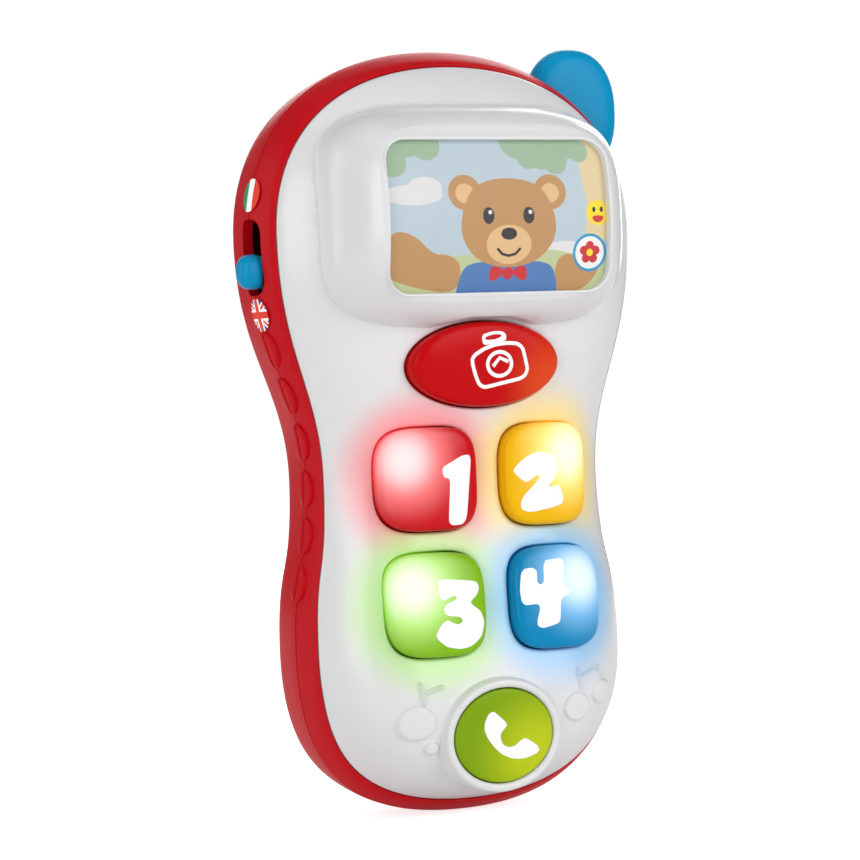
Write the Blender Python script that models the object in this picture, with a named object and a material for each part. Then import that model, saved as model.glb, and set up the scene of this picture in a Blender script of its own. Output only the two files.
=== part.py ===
"""Toy cell phone with a picture screen, light-up number keys and a lift-off battery door.

Upright: +Z runs from the call button to the antenna, the face looks along -Y.
All sizes below are millimetres; meshes are scaled to metres when they are finished.
"""
import math

import bmesh
import bpy
from mathutils import Matrix, Vector
from mathutils.bvhtree import BVHTree

for old in list(bpy.data.objects):
    bpy.data.objects.remove(old, do_unlink=True)

MM = 0.001
GAP = 0.32                     # clearance between neighbouring pieces
WALL = 2.2                     # shell thickness
REAR_Y = 20.0                  # flat back
OUTLINE_STEPS = 6              # points on each of the eight outline curves

# Outline knots: (half width, height, handle before, handle after). The end knots' handles are level.
FACE = [(0, 3.0, 0, 26.3), (36.7, 37.5, 22.6, 20.3), (33.4, 74.8, 21.2, 20.2),
        (42.8, 128.4, 26.4, 21.8), (0, 164.8, 27.5, 0)]
SEAM = [(0, 0.0, 0, 28.5), (38.4, 37.5, 24.5, 20.3), (34.6, 74.8, 21.2, 20.2),
        (45.7, 128.4, 26.4, 23.6), (0, 168.9, 29.8, 0)]
SPINE = (26.0, 130.0)          # the crown's ridge line, bottom to top
# (height, value) knots up the phone, joined by smooth steps
RIM = [(3.0, -6.6), (30.0, -9.4), (75.0, -7.6), (128.0, -9.4)]       # depth of the face plate's edge
CROWN = [(18.0, 13.2), (47.0, 11.2), (75.0, 10.0), (125.0, 11.5)]    # rise of the ridge above the edge
BLUNT = [(47.0, 4.8), (75.0, 3.6)]                                   # how square the crown's cross-section is
ORIGIN = Vector((0.0, REAR_Y, 90.5))   # on the flat back, above the battery door

KEY_HALF = (11.3, 11.3)
KEY_POST = {"key_1": (-13.3, 74.6), "key_2": (15.1, 74.6), "key_3": (-13.5, 47.6), "key_4": (15.3, 47.6)}
CAMERA_AT, CAMERA_HALF = (0.0, 99.0), (17.8, 9.2)
CALL_AT, CALL_HALF = (0.0, 18.5), (11.7, 10.2)
# The call button's boss: depth of its face, and how far it leans back downwards.
CALL_Y, CALL_LEAN = -22.6, 0.09
BOSS_EDGE = 2.0                # width of the boss's rim
TRAVEL = 1.8                   # button travel, kept in the record too

SCREEN_Z, SCREEN_Y = 130.6, -29.8
WINDOW_HALF = (26.1, 16.3)
WINDOW_R = 5.0
POCKET_HALF = (27.1, 17.3)     # behind the window, holds the screen stack
POCKET_R = 5.5
STACK_Y = SCREEN_Y + 2.0       # front of the pocket
BEZEL_HALF, BEZEL_Z = (36.0, 24.2), 131.4
LEDGE = 0.8                    # the face plate sits on a ledge this far up the rim's depth

BOARD_Y = (1.0, 2.6)
CASE_SCREWS = [(-28.5, 24.0), (28.5, 24.0), (-28.5, 88.0), (28.5, 88.0), (-36.0, 140.0), (36.5, 136.5)]
BOARD_SCREWS = [(-22.0, 29.8), (22.0, 29.8), (-21.6, 91.8), (21.6, 91.8)]
DOOR_HALF, DOOR_Z = 15.5, (15.5, 85.5)
DOOR_SCREW = (0.0, 80.6)
BATTERY_X, BATTERY_Y, BATTERY_R = 6.1, 12.3, 5.2
SPEAKER = (0.0, 131.0, 20.0)   # x, z, radius

SLIDER_Z = 120.8               # blue knob at rest, at the slot's lower end
SLOT_Z = (115.6, 132.2)
SLOT_FLOOR = -42.9             # how deep the knob's outer slot goes
POWER_Z = 99.0
LABELS = {"label_upper": 137.4, "label_lower": 111.4}
GRIP_Z = [52.6, 63.0, 73.2, 83.4, 93.6, 103.8]


# ---------------------------------------------------------------- materials
def material(name, color, roughness=0.35, metallic=0.0, transmission=0.0, emission=0.0):
    m = bpy.data.materials.new(name)
    m.use_nodes = True
    shader = m.node_tree.nodes["Principled BSDF"]
    shader.inputs["Base Color"].default_value = (*color, 1.0)
    shader.inputs["Roughness"].default_value = roughness
    shader.inputs["Metallic"].default_value = metallic
    shader.inputs["Transmission Weight"].default_value = transmission
    if emission:
        shader.inputs["Emission Color"].default_value = (*color, 1.0)
        shader.inputs["Emission Strength"].default_value = emission
    m.diffuse_color = (*color, 1.0)
    return m


RED = material("red_plastic", (0.58, 0.008, 0.012), 0.25)
WHITE = material("white_plastic", (0.74, 0.74, 0.74), 0.2)
BLUE = material("blue_plastic", (0.0, 0.30, 0.62), 0.3)
CLEAR = material("clear_plastic", (0.95, 0.97, 1.0), 0.05, transmission=0.9)
PAPER = material("printed_card", (0.45, 0.66, 0.78), 0.6)
STICKER = material("sticker", (0.80, 0.80, 0.78), 0.5)
PCB = material("circuit_board", (0.02, 0.16, 0.06), 0.5)
EPOXY = material("black_epoxy", (0.01, 0.01, 0.01), 0.3)
SILICONE = material("silicone", (0.55, 0.56, 0.54), 0.6)
STEEL = material("steel", (0.55, 0.55, 0.56), 0.3, metallic=1.0)
MAGNET = material("magnet", (0.08, 0.08, 0.085), 0.4, metallic=0.6)
CONE = material("speaker_cone", (0.03, 0.03, 0.03), 0.7)
CELL = material("battery_jacket", (0.03, 0.03, 0.035), 0.35)
DIFFUSER = material("white_tray", (0.8, 0.8, 0.8), 0.5)
LED = material("led_lens", (0.9, 0.9, 0.85), 0.15, emission=1.0)
WIRE_RED = material("wire_red", (0.5, 0.01, 0.01), 0.4)
WIRE_BLACK = material("wire_black", (0.01, 0.01, 0.01), 0.4)
KEY_COLORS = {
    "key_1": material("key_red", (0.75, 0.004, 0.006), 0.25),
    "key_2": material("key_yellow", (0.95, 0.55, 0.0), 0.25),
    "key_3": material("key_green", (0.22, 0.50, 0.01), 0.25),
    "key_4": material("key_blue", (0.0, 0.29, 0.52), 0.25),
}
GREEN = material("call_green", (0.33, 0.50, 0.01), 0.25)


# ---------------------------------------------------------------- shape helpers
def solid(name, verts, faces, mat=None):
    me = bpy.data.meshes.new(name)
    me.from_pydata([tuple(v) for v in verts], [], faces)
    bm = bmesh.new()
    bm.from_mesh(me)
    bmesh.ops.remove_doubles(bm, verts=bm.verts, dist=1e-4)
    bmesh.ops.recalc_face_normals(bm, faces=bm.faces)
    bm.to_mesh(me)
    bm.free()
    ob = bpy.data.objects.new(name, me)
    bpy.context.scene.collection.objects.link(ob)
    if mat:
        me.materials.append(mat)
    return ob


def loft(name, rings, mat=None, loop=False):
    """Skin a list of equal rings; a ring of one point closes that end to a tip."""
    verts, starts, faces = [], [], []
    for ring in rings:
        starts.append(len(verts))
        verts.extend(ring)
    spans = list(zip(range(len(rings)), range(1, len(rings))))
    if loop:
        spans.append((len(rings) - 1, 0))
    for a, b in spans:
        na, nb = len(rings[a]), len(rings[b])
        n = max(na, nb)
        for i in range(n):
            j = (i + 1) % n
            if na == 1:
                faces.append((starts[a], starts[b] + i, starts[b] + j))
            elif nb == 1:
                faces.append((starts[a] + j, starts[a] + i, starts[b]))
            else:
                faces.append((starts[a] + i, starts[a] + j, starts[b] + j, starts[b] + i))
    if not loop:
        for k in (0, len(rings) - 1):
            if len(rings[k]) > 2:
                faces.append(tuple(range(starts[k], starts[k] + len(rings[k]))))
    return solid(name, verts, faces, mat)


def combine(a, b, operation):
    """Boolean b into a, then drop b."""
    mod = a.modifiers.new("cut", "BOOLEAN")
    mod.object, mod.operation, mod.solver = b, operation, "EXACT"
    graph = bpy.context.evaluated_depsgraph_get()
    result = bpy.data.meshes.new_from_object(a.evaluated_get(graph))
    a.modifiers.clear()
    mats = list(a.data.materials)
    a.data = result
    a.data.materials.clear()
    for m in mats:
        a.data.materials.append(m)
    for poly in a.data.polygons:
        poly.material_index = 0
    bpy.data.objects.remove(b, do_unlink=True)
    return a


def cut(a, b):
    return combine(a, b, "DIFFERENCE")


def join(a, b):
    return combine(a, b, "UNION")


def box(name, x, y, z, mat=None):
    verts = [(x[i], y[j], z[k]) for i in (0, 1) for j in (0, 1) for k in (0, 1)]
    faces = [(0, 1, 3, 2), (4, 6, 7, 5), (0, 4, 5, 1), (2, 3, 7, 6), (0, 2, 6, 4), (1, 5, 7, 3)]
    return solid(name, verts, faces, mat)


def circle(cx, cz, r, n, rz=None):
    rz = r if rz is None else rz
    turns = [2 * math.pi * i / n for i in range(n)]
    return [(cx + r * math.cos(a), cz + rz * math.sin(a)) for a in turns]


def squircle(cx, cz, hx, hz, power, n):
    pts = []
    for i in range(n):
        a = 2 * math.pi * (i + 0.5) / n
        c, s = math.cos(a), math.sin(a)
        pts.append((cx + hx * math.copysign(abs(c) ** (2 / power), c),
                    cz + hz * math.copysign(abs(s) ** (2 / power), s)))
    return pts


def round_rect(cx, cz, hx, hz, r, corner=4):
    pts = []
    for sx, sz, start in ((1, 1, 0), (-1, 1, 90), (-1, -1, 180), (1, -1, 270)):
        for i in range(corner + 1):
            a = math.radians(start + 90 * i / corner)
            pts.append((cx + sx * (hx - r) + r * math.cos(a), cz + sz * (hz - r) + r * math.sin(a)))
    return pts


def at_y(points, y):
    return [(x, y, z) for x, z in points]


def rod_y(name, cx, cz, sections, n=12, mat=None):
    """A turned piece along Y: sections are (radius, y); radius 0 is a tip."""
    rings = [[(cx, y, cz)] if r == 0 else at_y(circle(cx, cz, r, n), y) for r, y in sections]
    return loft(name, rings, mat)


def prism(name, points, y0, y1, mat=None):
    return loft(name, [at_y(points, y0), at_y(points, y1)], mat)


def tube(name, path, radius, n=6, mat=None):
    """A round bar swept along a path of points."""
    path = [Vector(p) for p in path]
    rings, side = [], None
    for i, p in enumerate(path):
        along = (path[min(i + 1, len(path) - 1)] - path[max(i - 1, 0)]).normalized()
        if side is None:
            side = along.orthogonal().normalized()
        side = (side - along * side.dot(along)).normalized()
        other = along.cross(side)
        turns = [2 * math.pi * k / n for k in range(n)]
        rings.append([tuple(p + radius * (math.cos(a) * side + math.sin(a) * other)) for a in turns])
    return loft(name, rings, mat)


# ---------------------------------------------------------------- outline and crowned face
def outline(knots, steps=OUTLINE_STEPS):
    """Closed outline from the bottom, up the +X side and back down the -X side."""
    side = []
    for k, (a, b) in enumerate(zip(knots, knots[1:])):
        p0, p3 = Vector((a[0], a[1])), Vector((b[0], b[1]))
        p1 = p0 + (Vector((a[3], 0)) if k == 0 else Vector((0, a[3])))
        p2 = p3 + (Vector((b[2], 0)) if k == len(knots) - 2 else Vector((0, -b[2])))
        for i in range(steps):
            t = i / steps
            side.append((1 - t) ** 3 * p0 + 3 * t * (1 - t) ** 2 * p1 + 3 * t * t * (1 - t) * p2 + t ** 3 * p3)
    side.append(Vector((knots[-1][0], knots[-1][1])))
    return side + [Vector((-p.x, p.y)) for p in reversed(side[1:-1])]


def inset(points, distance):
    n = len(points)
    moved = []
    for i in range(n):
        along = (points[(i + 1) % n] - points[i - 1]).normalized()
        moved.append(points[i] + distance * Vector((-along.y, along.x)))
    return moved


def blend(a, b, f):
    return [p.lerp(q, f) for p, q in zip(a, b)]


def smooth(t):
    t = min(max(t, 0.0), 1.0)
    return t * t * (3 - 2 * t)


def stepped(knots, z):
    """Value at a height, easing from knot to knot and level beyond the ends."""
    value = knots[0][1]
    for (z0, v0), (z1, v1) in zip(knots, knots[1:]):
        value += (v1 - v0) * smooth((z - z0) / (z1 - z0))
    return value


def rim_y(z):
    """Where the face plate's edge meets the housing."""
    return stepped(RIM, z)


def face_rings(edge, levels, sink=0.0):
    """Rings of the crowned face from its edge in to the ridge, sunk by a wall thickness."""
    rings = []
    for k in levels:
        ring = []
        for p in edge:
            ridge = min(max(p.y, SPINE[0]), SPINE[1])
            x, z = p.x * (1 - k), ridge + (p.y - ridge) * (1 - k)
            ring.append((x, rim_y(z) - stepped(CROWN, z) * (1 - (1 - k) ** stepped(BLUNT, z)) + sink, z))
        rings.append(ring)
    return rings


def face_solid(name, edge, floor_y, levels, sink=0.0, mat=None):
    rings = face_rings(edge, levels, sink)
    base = [(x, floor_y(z), z) for x, y, z in rings[0]]
    lip = [(x, b[1], z) for (x, y, z), b in zip(face_rings(edge, [levels[0] + 0.14])[0], base)]
    rings = [lip, base] + rings
    n = len(edge)
    verts = [v for ring in rings for v in ring]
    faces = [tuple(range(n))]
    for r in range(len(rings) - 1):
        for i in range(n):
            j = (i + 1) % n
            faces.append((r * n + i, r * n + j, (r + 1) * n + j, (r + 1) * n + i))
    ob = solid(name, verts, faces, mat)
    bm = bmesh.new()
    bm.from_mesh(ob.data)
    bmesh.ops.remove_doubles(bm, verts=bm.verts, dist=1e-3)
    bmesh.ops.dissolve_degenerate(bm, edges=bm.edges, dist=1e-3)
    bmesh.ops.recalc_face_normals(bm, faces=bm.faces)
    bm.to_mesh(ob.data)
    bm.free()
    return ob


FACE_EDGE, SEAM_EDGE = outline(FACE), outline(SEAM)
PLATE_EDGE = inset(FACE_EDGE, 0.35)

probe = face_solid("probe", inset(outline(FACE, 14), 0.35), lambda z: 0.0, [i / 12 for i in range(13)])
probe_tree = BVHTree.FromPolygons([v.co for v in probe.data.vertices], [p.vertices for p in probe.data.polygons])
bpy.data.objects.remove(probe, do_unlink=True)


def skin(x, z):
    """Depth of the white face's outer skin at (x, z)."""
    hit = probe_tree.ray_cast(Vector((x, -60, z)), Vector((0, 1, 0)))[0]
    return hit.y if hit else rim_y(z)


def on_skin(points, offset):
    return [(x, skin(x, z) + offset, z) for x, z in points]


def on_boss(points, offset):
    """Depths on the call button's flat, slightly leaning boss."""
    return [(x, CALL_Y - CALL_LEAN * (z - CALL_AT[1]) + offset, z) for x, z in points]


def call_loop(grow):
    return circle(*CALL_AT, CALL_HALF[0] + grow, 24, CALL_HALF[1] + grow)


# ---------------------------------------------------------------- housing
def grip_halves(sign):
    """Half-oval finger grips on both flanks, on one side of the seam."""
    verts, faces, n = [], [], 6
    for z in GRIP_Z:
        half = min((p for p in SEAM_EDGE if p.x > 0), key=lambda p: abs(p.y - z)).x
        for flank in (-1, 1):
            base = len(verts)
            for level in (0.0, 0.65):
                swell = math.sqrt(1 - level * level)
                for i in range(n):
                    a = 2 * math.pi * (i + 0.5) / n
                    verts.append((flank * (half - 1.2 + 2.2 * math.cos(a) * swell), sign * (0.12 + 3.4 * level),
                                  z + 4.3 * math.sin(a) * swell))
            verts.append((flank * (half - 1.2), sign * 3.5, z))
            faces.append(tuple(base + i for i in range(n)))
            for i in range(n):
                j = (i + 1) % n
                faces.append((base + i, base + j, base + n + j, base + n + i))
                faces.append((base + n + i, base + n + j, base + 2 * n))
    return solid("grips", verts, faces)


# Front half: a ring that runs from the seam to the face plate's edge, with a ledge under the plate.
wide = SEAM_EDGE
sections = []
for f, depth in ((0.0, 0.0), (0.08, 0.15), (0.34, 0.48), (0.66, 0.80), (0.88, 0.97), (1.0, 1.0)):
    sections.append([(p.x, rim_y(p.y) * depth, p.y) for p in blend(wide, FACE_EDGE, f)])
sections[0] = [(p.x, -0.15, p.y) for p in wide]
sections.append([(p.x, rim_y(p.y) * LEDGE, p.y) for p in FACE_EDGE])
ledge = inset(FACE_EDGE, 2.4)
sections.append([(p.x, rim_y(q.y) * LEDGE, p.y) for p, q in zip(ledge, FACE_EDGE)])
sections.append([(p.x, rim_y(q.y) * LEDGE + 1.5, p.y) for p, q in zip(ledge, FACE_EDGE)])
sections.append([(p.x, -0.15, p.y) for p in inset(wide, WALL)])
front_case = loft("front_case", sections, RED, loop=True)
front_case = join(front_case, grip_halves(-1))

# Rear half: a bowl. The hollow leaves the battery well, the screw posts and the switch block standing.
rear_profile = [(0.0, 0.15), (0.25, 5.5), (1.1, 12.0), (3.6, 16.6), (7.0, 19.1), (11.0, REAR_Y)]
rear_case = loft("rear_case", [[(p.x, y, p.y) for p in inset(SEAM_EDGE, d)] for d, y in rear_profile], RED)
hollow_profile = [(WALL, -1.0), (WALL + 0.25, 5.5), (WALL + 1.1, 11.6), (WALL + 3.2, 15.4), (11.4, REAR_Y - 2.1)]
hollow = loft("hollow", [[(p.x, y, p.y) for p in inset(SEAM_EDGE, d)] for d, y in hollow_profile])
cut(hollow, box("well", (-14, 14), (4.6, 30), (18.4, 75.8)))
cut(hollow, box("door_frame", (-18.2, 18.2), (15.8, 30), (12.6, 88.4)))
cut(hollow, box("power_block", (-11, 11), (15.8, 30), (93, 105)))
for i, (x, z) in enumerate(CASE_SCREWS):
    cut(hollow, rod_y("post", x, z, [(4.1, -5), (4.1, 30)], 14))
cut(hollow, rod_y("door_post", *DOOR_SCREW, [(3.9, 9.0), (3.9, 30)], 14))
cut(rear_case, hollow)
cut(rear_case, box("battery_well", (-12.3, 12.3), (6.2, 30), (20.2, 74.2)))
cut(rear_case, box("door_recess", (-DOOR_HALF - GAP, DOOR_HALF + GAP), (REAR_Y - 2.0, 30),
                   (DOOR_Z[0] - GAP, DOOR_Z[1] + GAP)))
for x, z in CASE_SCREWS:
    cut(rear_case, rod_y("bore", x, z, [(1.55, -3), (1.55, 9.0), (3.1, 9.0), (3.1, 30)], 12))
cut(rear_case, rod_y("bore", *DOOR_SCREW, [(1.1, 10.5), (1.1, 30)], 10))
cut(rear_case, box("power_pocket", (-8.5, 8.5), (REAR_Y - 1.5, 30), (POWER_Z - 3.4, POWER_Z + 3.4)))
cut(rear_case, box("power_slot", (-5.2, 5.2), (10, 30), (POWER_Z - 1.6, POWER_Z + 1.6)))
for x, z in [(0, 0)] + [(r * math.cos(math.radians(a)), r * math.sin(math.radians(a)))
                        for r, angles in ((6.0, range(0, 360, 60)), (11.5, range(15, 360, 45)))
                        for a in angles]:
    cut(rear_case, rod_y("grille", SPEAKER[0] + x, SPEAKER[1] + z, [(1.6, 12), (1.6, 30)], 6))
join(rear_case, grip_halves(1))

# Screw lugs under the front half
for x, z in CASE_SCREWS:
    side = 1 if x > 0 else -1
    reach = 1.2 * side
    join(front_case, prism("lug", circle(x + reach, z, 5.4, 14, 3.6), -4.3, -0.45))
for x, z in CASE_SCREWS:
    cut(front_case, rod_y("pilot", x, z, [(1.5, -5.0), (1.5, 3)], 10))

# Language slot through both halves on the -X flank
slot = round_rect(0, 0, 4.0, (SLOT_Z[1] - SLOT_Z[0]) / 2, 3.6, 5)
slot_mid = (SLOT_Z[0] + SLOT_Z[1]) / 2


def slot_cutter(x0, x1, half_y=None, mid_y=-0.2):
    shape = slot if half_y is None else round_rect(0, 0, half_y, (SLOT_Z[1] - SLOT_Z[0]) / 2, half_y * 0.9, 4)
    rings = [[(x, mid_y + a, slot_mid + b) for a, b in shape] for x in (x0, x1)]
    return loft("slot", rings)


cut(front_case, slot_cutter(-60, SLOT_FLOOR))
cut(rear_case, slot_cutter(-60, SLOT_FLOOR))
cut(rear_case, slot_cutter(-60, -38.0, 2.3, 1.6))

# ---------------------------------------------------------------- face plate
LEVELS = [0.0, 0.05, 0.13, 0.25, 0.42, 0.7, 1.0]


def bezel(name, grow=0.0, sink=0.0):
    """Pillow-shaped screen surround, from the face's skin up to the flat screen rim."""
    rings = []
    for hx, hz, power, lift in ((1.0, 1.0, 3.4, 0.0), (0.977, 0.97, 3.5, 0.385), (0.932, 0.925, 3.7, 0.66),
                                (0.847, 0.845, 4.2, 0.885), (0.765, 0.765, 5.0, 1.0)):
        pts = squircle(0.0, BEZEL_Z, BEZEL_HALF[0] * hx + grow, BEZEL_HALF[1] * hz + grow, power, 36)
        rings.append([(x, (skin(x, z) * (1 - lift) + SCREEN_Y * lift) + sink, z) for x, z in pts])
    base = [(x, -6.6, z) for x, y, z in rings[0]]
    return loft(name, [base] + rings)


face_plate = face_solid("face_plate", PLATE_EDGE, lambda z: rim_y(z) * LEDGE - 0.3, LEVELS, mat=WHITE)
surround = bezel("surround")
join(face_plate, surround)
join(face_plate, loft("boss", [at_y(call_loop(BOSS_EDGE + 0.4), -6.0)]
                      + [on_boss(call_loop(grow), o) for grow, o in
                         ((BOSS_EDGE + 0.2, 1.6), (BOSS_EDGE, -0.2), (BOSS_EDGE - 0.6, -0.9), (-2.0, -0.9))]))
under = face_solid("under", PLATE_EDGE, lambda z: 3.0, [0.07] + LEVELS[2:], sink=WALL)
cut(face_plate, under)
cut(face_plate, loft("boss_hollow", [on_boss(call_loop(0.95), WALL - 0.9), at_y(call_loop(0.95), 3.0)]))
cut(face_plate, prism("screen_pocket", round_rect(0, SCREEN_Z, *POCKET_HALF, POCKET_R, 4), STACK_Y, 3.0))
cut(face_plate, prism("window_hole", round_rect(0, SCREEN_Z, *WINDOW_HALF, WINDOW_R, 5), -40, 3.0))
for x, z in BOARD_SCREWS:
    post = circle(x, z, 2.5, 10)
    join(face_plate, loft("post", [on_skin(post, 1.2), at_y(post, BOARD_Y[0] - 0.3)]))
    cut(face_plate, rod_y("pilot", x, z, [(1.25, -4.2), (1.25, 3)], 8))
for name, (x, z) in KEY_POST.items():
    cut(face_plate, prism("hole", squircle(x, z, KEY_HALF[0] + GAP, KEY_HALF[1] + GAP, 3.6, 20), -30, 3))
cut(face_plate, prism("hole", circle(*CAMERA_AT, CAMERA_HALF[0] + GAP, 32, CAMERA_HALF[1] + GAP), -30, 3))
cut(face_plate, prism("hole", call_loop(GAP), -40, 3))


# ---------------------------------------------------------------- buttons
def button(name, shape, rise, mat, n, stem=(0, 0), on=on_skin, under_plate=WALL + GAP):
    """A captive push button: stem, flange under the plate, wall through it, domed top."""
    cx, cz = stem
    rings = [[(cx, -3.35, cz)],
             at_y(circle(cx, cz, 2.8, n), -3.35),
             on(circle(cx, cz, 2.8, n), under_plate + 1.3),
             on(shape(1.1), under_plate + 1.3),
             on(shape(1.1), under_plate),
             on(shape(0.0), under_plate),
             on(shape(0.0), -rise * 0.55),
             on(shape(-0.7), -rise * 0.85),
             on(shape(-2.4), -rise * 0.98),
             on(shape(-6.0), -rise * 1.06),
             on([(cx, cz)], -rise * 1.08)]
    return loft(name, rings, mat)


def key_shape(x, z):
    return lambda grow: squircle(x, z, KEY_HALF[0] + grow, KEY_HALF[1] + grow, 3.6, 20)


for name, (x, z) in KEY_POST.items():
    button(name, key_shape(x, z), 3.4, KEY_COLORS[name], 20, (x, z))
button("camera_button", lambda g: circle(*CAMERA_AT, CAMERA_HALF[0] + g, 28, CAMERA_HALF[1] + g),
       3.6, RED, 28, CAMERA_AT)
button("call_button", lambda g: call_loop(g * (0.5 if g > 0 else 1)),
       1.6, GREEN, 24, CALL_AT, on_boss, WALL - 0.9 + GAP)

domes = {"dome_camera": CAMERA_AT, "dome_call": CALL_AT}
domes.update({"dome_" + k[-1]: v for k, v in KEY_POST.items()})
for name, (x, z) in domes.items():
    rod_y(name, x, z, [(4.2, BOARD_Y[0] - GAP), (4.2, 0.1), (2.9, -1.9), (2.2, -3.0)], 12, SILICONE)

# ---------------------------------------------------------------- screen stack
def stack(grow):
    """Outline of a piece of the screen stack, grown from the window's opening."""
    return round_rect(0, SCREEN_Z, WINDOW_HALF[0] + grow, WINDOW_HALF[1] + grow, WINDOW_R + grow, 4)


loft("screen_window", [at_y(stack(g), y) for g, y in ((-0.3, SCREEN_Y + 0.55), (-0.3, STACK_Y + 0.32),
                                                      (0.65, STACK_Y + 0.32), (0.65, STACK_Y + 0.9))], CLEAR)
prism("picture_card", stack(0.6), STACK_Y + 1.22, STACK_Y + 1.6, PAPER)
tray = prism("light_box", stack(0.5), STACK_Y + 1.95, -8.6, DIFFUSER)
cut(tray, prism("tray_hollow", stack(-1.0), -40, -9.9))
cut(tray, rod_y("led_hole", 0, SCREEN_Z, [(3.0, -20), (3.0, 0)], 12))
rod_y("screen_led", 0, SCREEN_Z, [(1.9, BOARD_Y[0] - GAP), (1.9, -5.0), (2.8, -5.0), (2.8, -6.2), (2.5, -6.2),
                                  (2.5, -10.4), (1.6, -12.0), (0, -12.5)], 10, LED)

# ---------------------------------------------------------------- board and its parts
board_shape = [(-15, 9), (15, 9), (24, 19), (24, 112), (16, 118), (16, 139), (-16, 139), (-16, 133.5),
               (-34, 133.5), (-34, 114), (-24, 108), (-24, 19)]
board = prism("main_board", board_shape, *BOARD_Y, PCB)
for x, z in BOARD_SCREWS:
    cut(board, rod_y("hole", x, z, [(1.35, 0), (1.35, 5)], 10))
for i, (x, z) in enumerate(BOARD_SCREWS, 1):
    rod_y("board_screw_%d" % i, x, z, [(0.9, -3.6), (0.9, BOARD_Y[1] + GAP), (2.2, BOARD_Y[1] + GAP),
                                       (2.2, BOARD_Y[1] + 1.1), (1.5, BOARD_Y[1] + 1.7)], 10, STEEL)
rod_y("chip_blob", 0, 60.5, [(5.6, BOARD_Y[0] - GAP), (5.2, 0.0), (3.4, -0.9), (0, -1.2)], 16, EPOXY)
rod_y("capacitor", 19.0, 101.0, [(3.0, BOARD_Y[1] + GAP), (3.0, BOARD_Y[1] + 7.2), (2.5, BOARD_Y[1] + 7.6)],
      12, CELL)
for i, (x, z) in enumerate(((-20.4, 78.6), (20.4, 78.6), (-20.4, 51.6), (20.4, 51.6)), 1):
    rod_y("key_led_%d" % i, x, z, [(1.9, BOARD_Y[0] - GAP), (1.9, -0.2), (1.5, -0.2), (1.5, -2.2), (0.9, -3.1),
                                   (0, -3.4)], 10, LED)

# ---------------------------------------------------------------- speaker
sx, sz, sr = SPEAKER
rod_y("speaker_frame", sx, sz, [(9.0, 9.2), (9.2, 12.0), (sr - 2.5, 16.0), (sr, 16.4), (sr, 17.4), (sr - 1.6, 17.4),
                                (sr - 3.4, 16.9), (9.0, 13.4), (7.4, 13.2)], 24, STEEL)
rod_y("speaker_magnet", sx, sz, [(8.6, 4.4), (9.3, 4.8), (9.3, 8.4), (8.6, 8.8)], 20, MAGNET)
rod_y("speaker_cone", sx, sz, [(6.0, 13.75), (8.2, 13.9), (sr - 4.2, 17.3), (sr - 4.6, 17.62), (8.4, 14.5),
                               (5.0, 15.4), (0, 16.0)], 20, CONE)

# ---------------------------------------------------------------- batteries
# (radius, z) up each cell: the first has its button at the top, the second at the bottom.
CELLS = {"battery_1": (-BATTERY_X, [(BATTERY_R, 27.2), (BATTERY_R, 70.7), (4.4, 71.1), (1.9, 71.1), (1.9, 72.0)]),
         "battery_2": (BATTERY_X, [(1.9, 21.8), (1.9, 22.7), (4.4, 22.7), (BATTERY_R, 23.1), (BATTERY_R, 66.6)])}
for name, (x, profile) in CELLS.items():
    loft(name, [[(a, b, z) for a, b in circle(x, BATTERY_Y, r, 14)] for r, z in profile], CELL)
for name, x, z0, z1 in (("contact_spring_1", -BATTERY_X, 21.4, 26.8), ("contact_spring_2", BATTERY_X, 72.9, 67.0)):
    turns, steps = 3, 9
    path = [(x + (3.4 - 1.2 * t) * math.cos(2 * math.pi * turns * t),
             BATTERY_Y + (3.4 - 1.2 * t) * math.sin(2 * math.pi * turns * t),
             z0 + (z1 - z0) * t) for t in [k / (turns * steps) for k in range(turns * steps + 1)]]
    tube(name, path, 0.35, 4, STEEL)
box("contact_plate_top", (-11.2, 11.2), (7.4, 16.4), (73.35, 73.85), STEEL)
box("contact_plate_bottom", (-11.2, 11.2), (7.4, 16.4), (20.5, 20.95), STEEL)

# ---------------------------------------------------------------- battery door and screws
door = prism("battery_door", round_rect(0, sum(DOOR_Z) / 2, DOOR_HALF, (DOOR_Z[1] - DOOR_Z[0]) / 2, 2.0, 3),
             REAR_Y - 1.7, REAR_Y, RED)
cut(door, rod_y("screw_hole", *DOOR_SCREW, [(1.4, 10), (1.4, REAR_Y - 1.0), (2.8, REAR_Y - 1.0), (2.8, 30)], 12))
rod_y("battery_door_screw", *DOOR_SCREW, [(0.8, 12.0), (0.8, REAR_Y - 0.7), (2.45, REAR_Y - 0.7),
                                          (2.45, REAR_Y - 0.1), (1.2, REAR_Y - 0.1), (1.0, REAR_Y - 0.5)],
      12, STEEL)
for i, (x, z) in enumerate(CASE_SCREWS, 1):
    rod_y("case_screw_%d" % i, x, z, [(1.2, -2.3), (1.2, 9.3), (2.7, 9.3), (2.7, 10.6), (2.0, 11.2)], 10, STEEL)

# ---------------------------------------------------------------- antenna
ANTENNA_AT, ANTENNA_HALF, ANTENNA_Y = (37.0, 156.4), (11.0, 14.4), (1.6, 10.6)


def fin_solid(name, grow, mat=None):
    """A rounded upright fin set into the housing's upper corner."""
    mid = sum(ANTENNA_Y) / 2
    half = (ANTENNA_Y[1] - ANTENNA_Y[0]) / 2 + grow
    rings = []
    for scale, y in ((0.55, -1.0), (0.82, -0.86), (0.96, -0.5), (1.0, 0.0), (0.96, 0.5), (0.82, 0.86), (0.55, 1.0)):
        hx, hz = (h * scale + grow for h in ANTENNA_HALF)
        rings.append(at_y(squircle(*ANTENNA_AT, hx, hz, 2.3, 24), mid + half * y))
    return loft(name, rings, mat)


fin_solid("antenna", 0.0, BLUE)
cut(rear_case, fin_solid("antenna_hole", 0.35))

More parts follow.
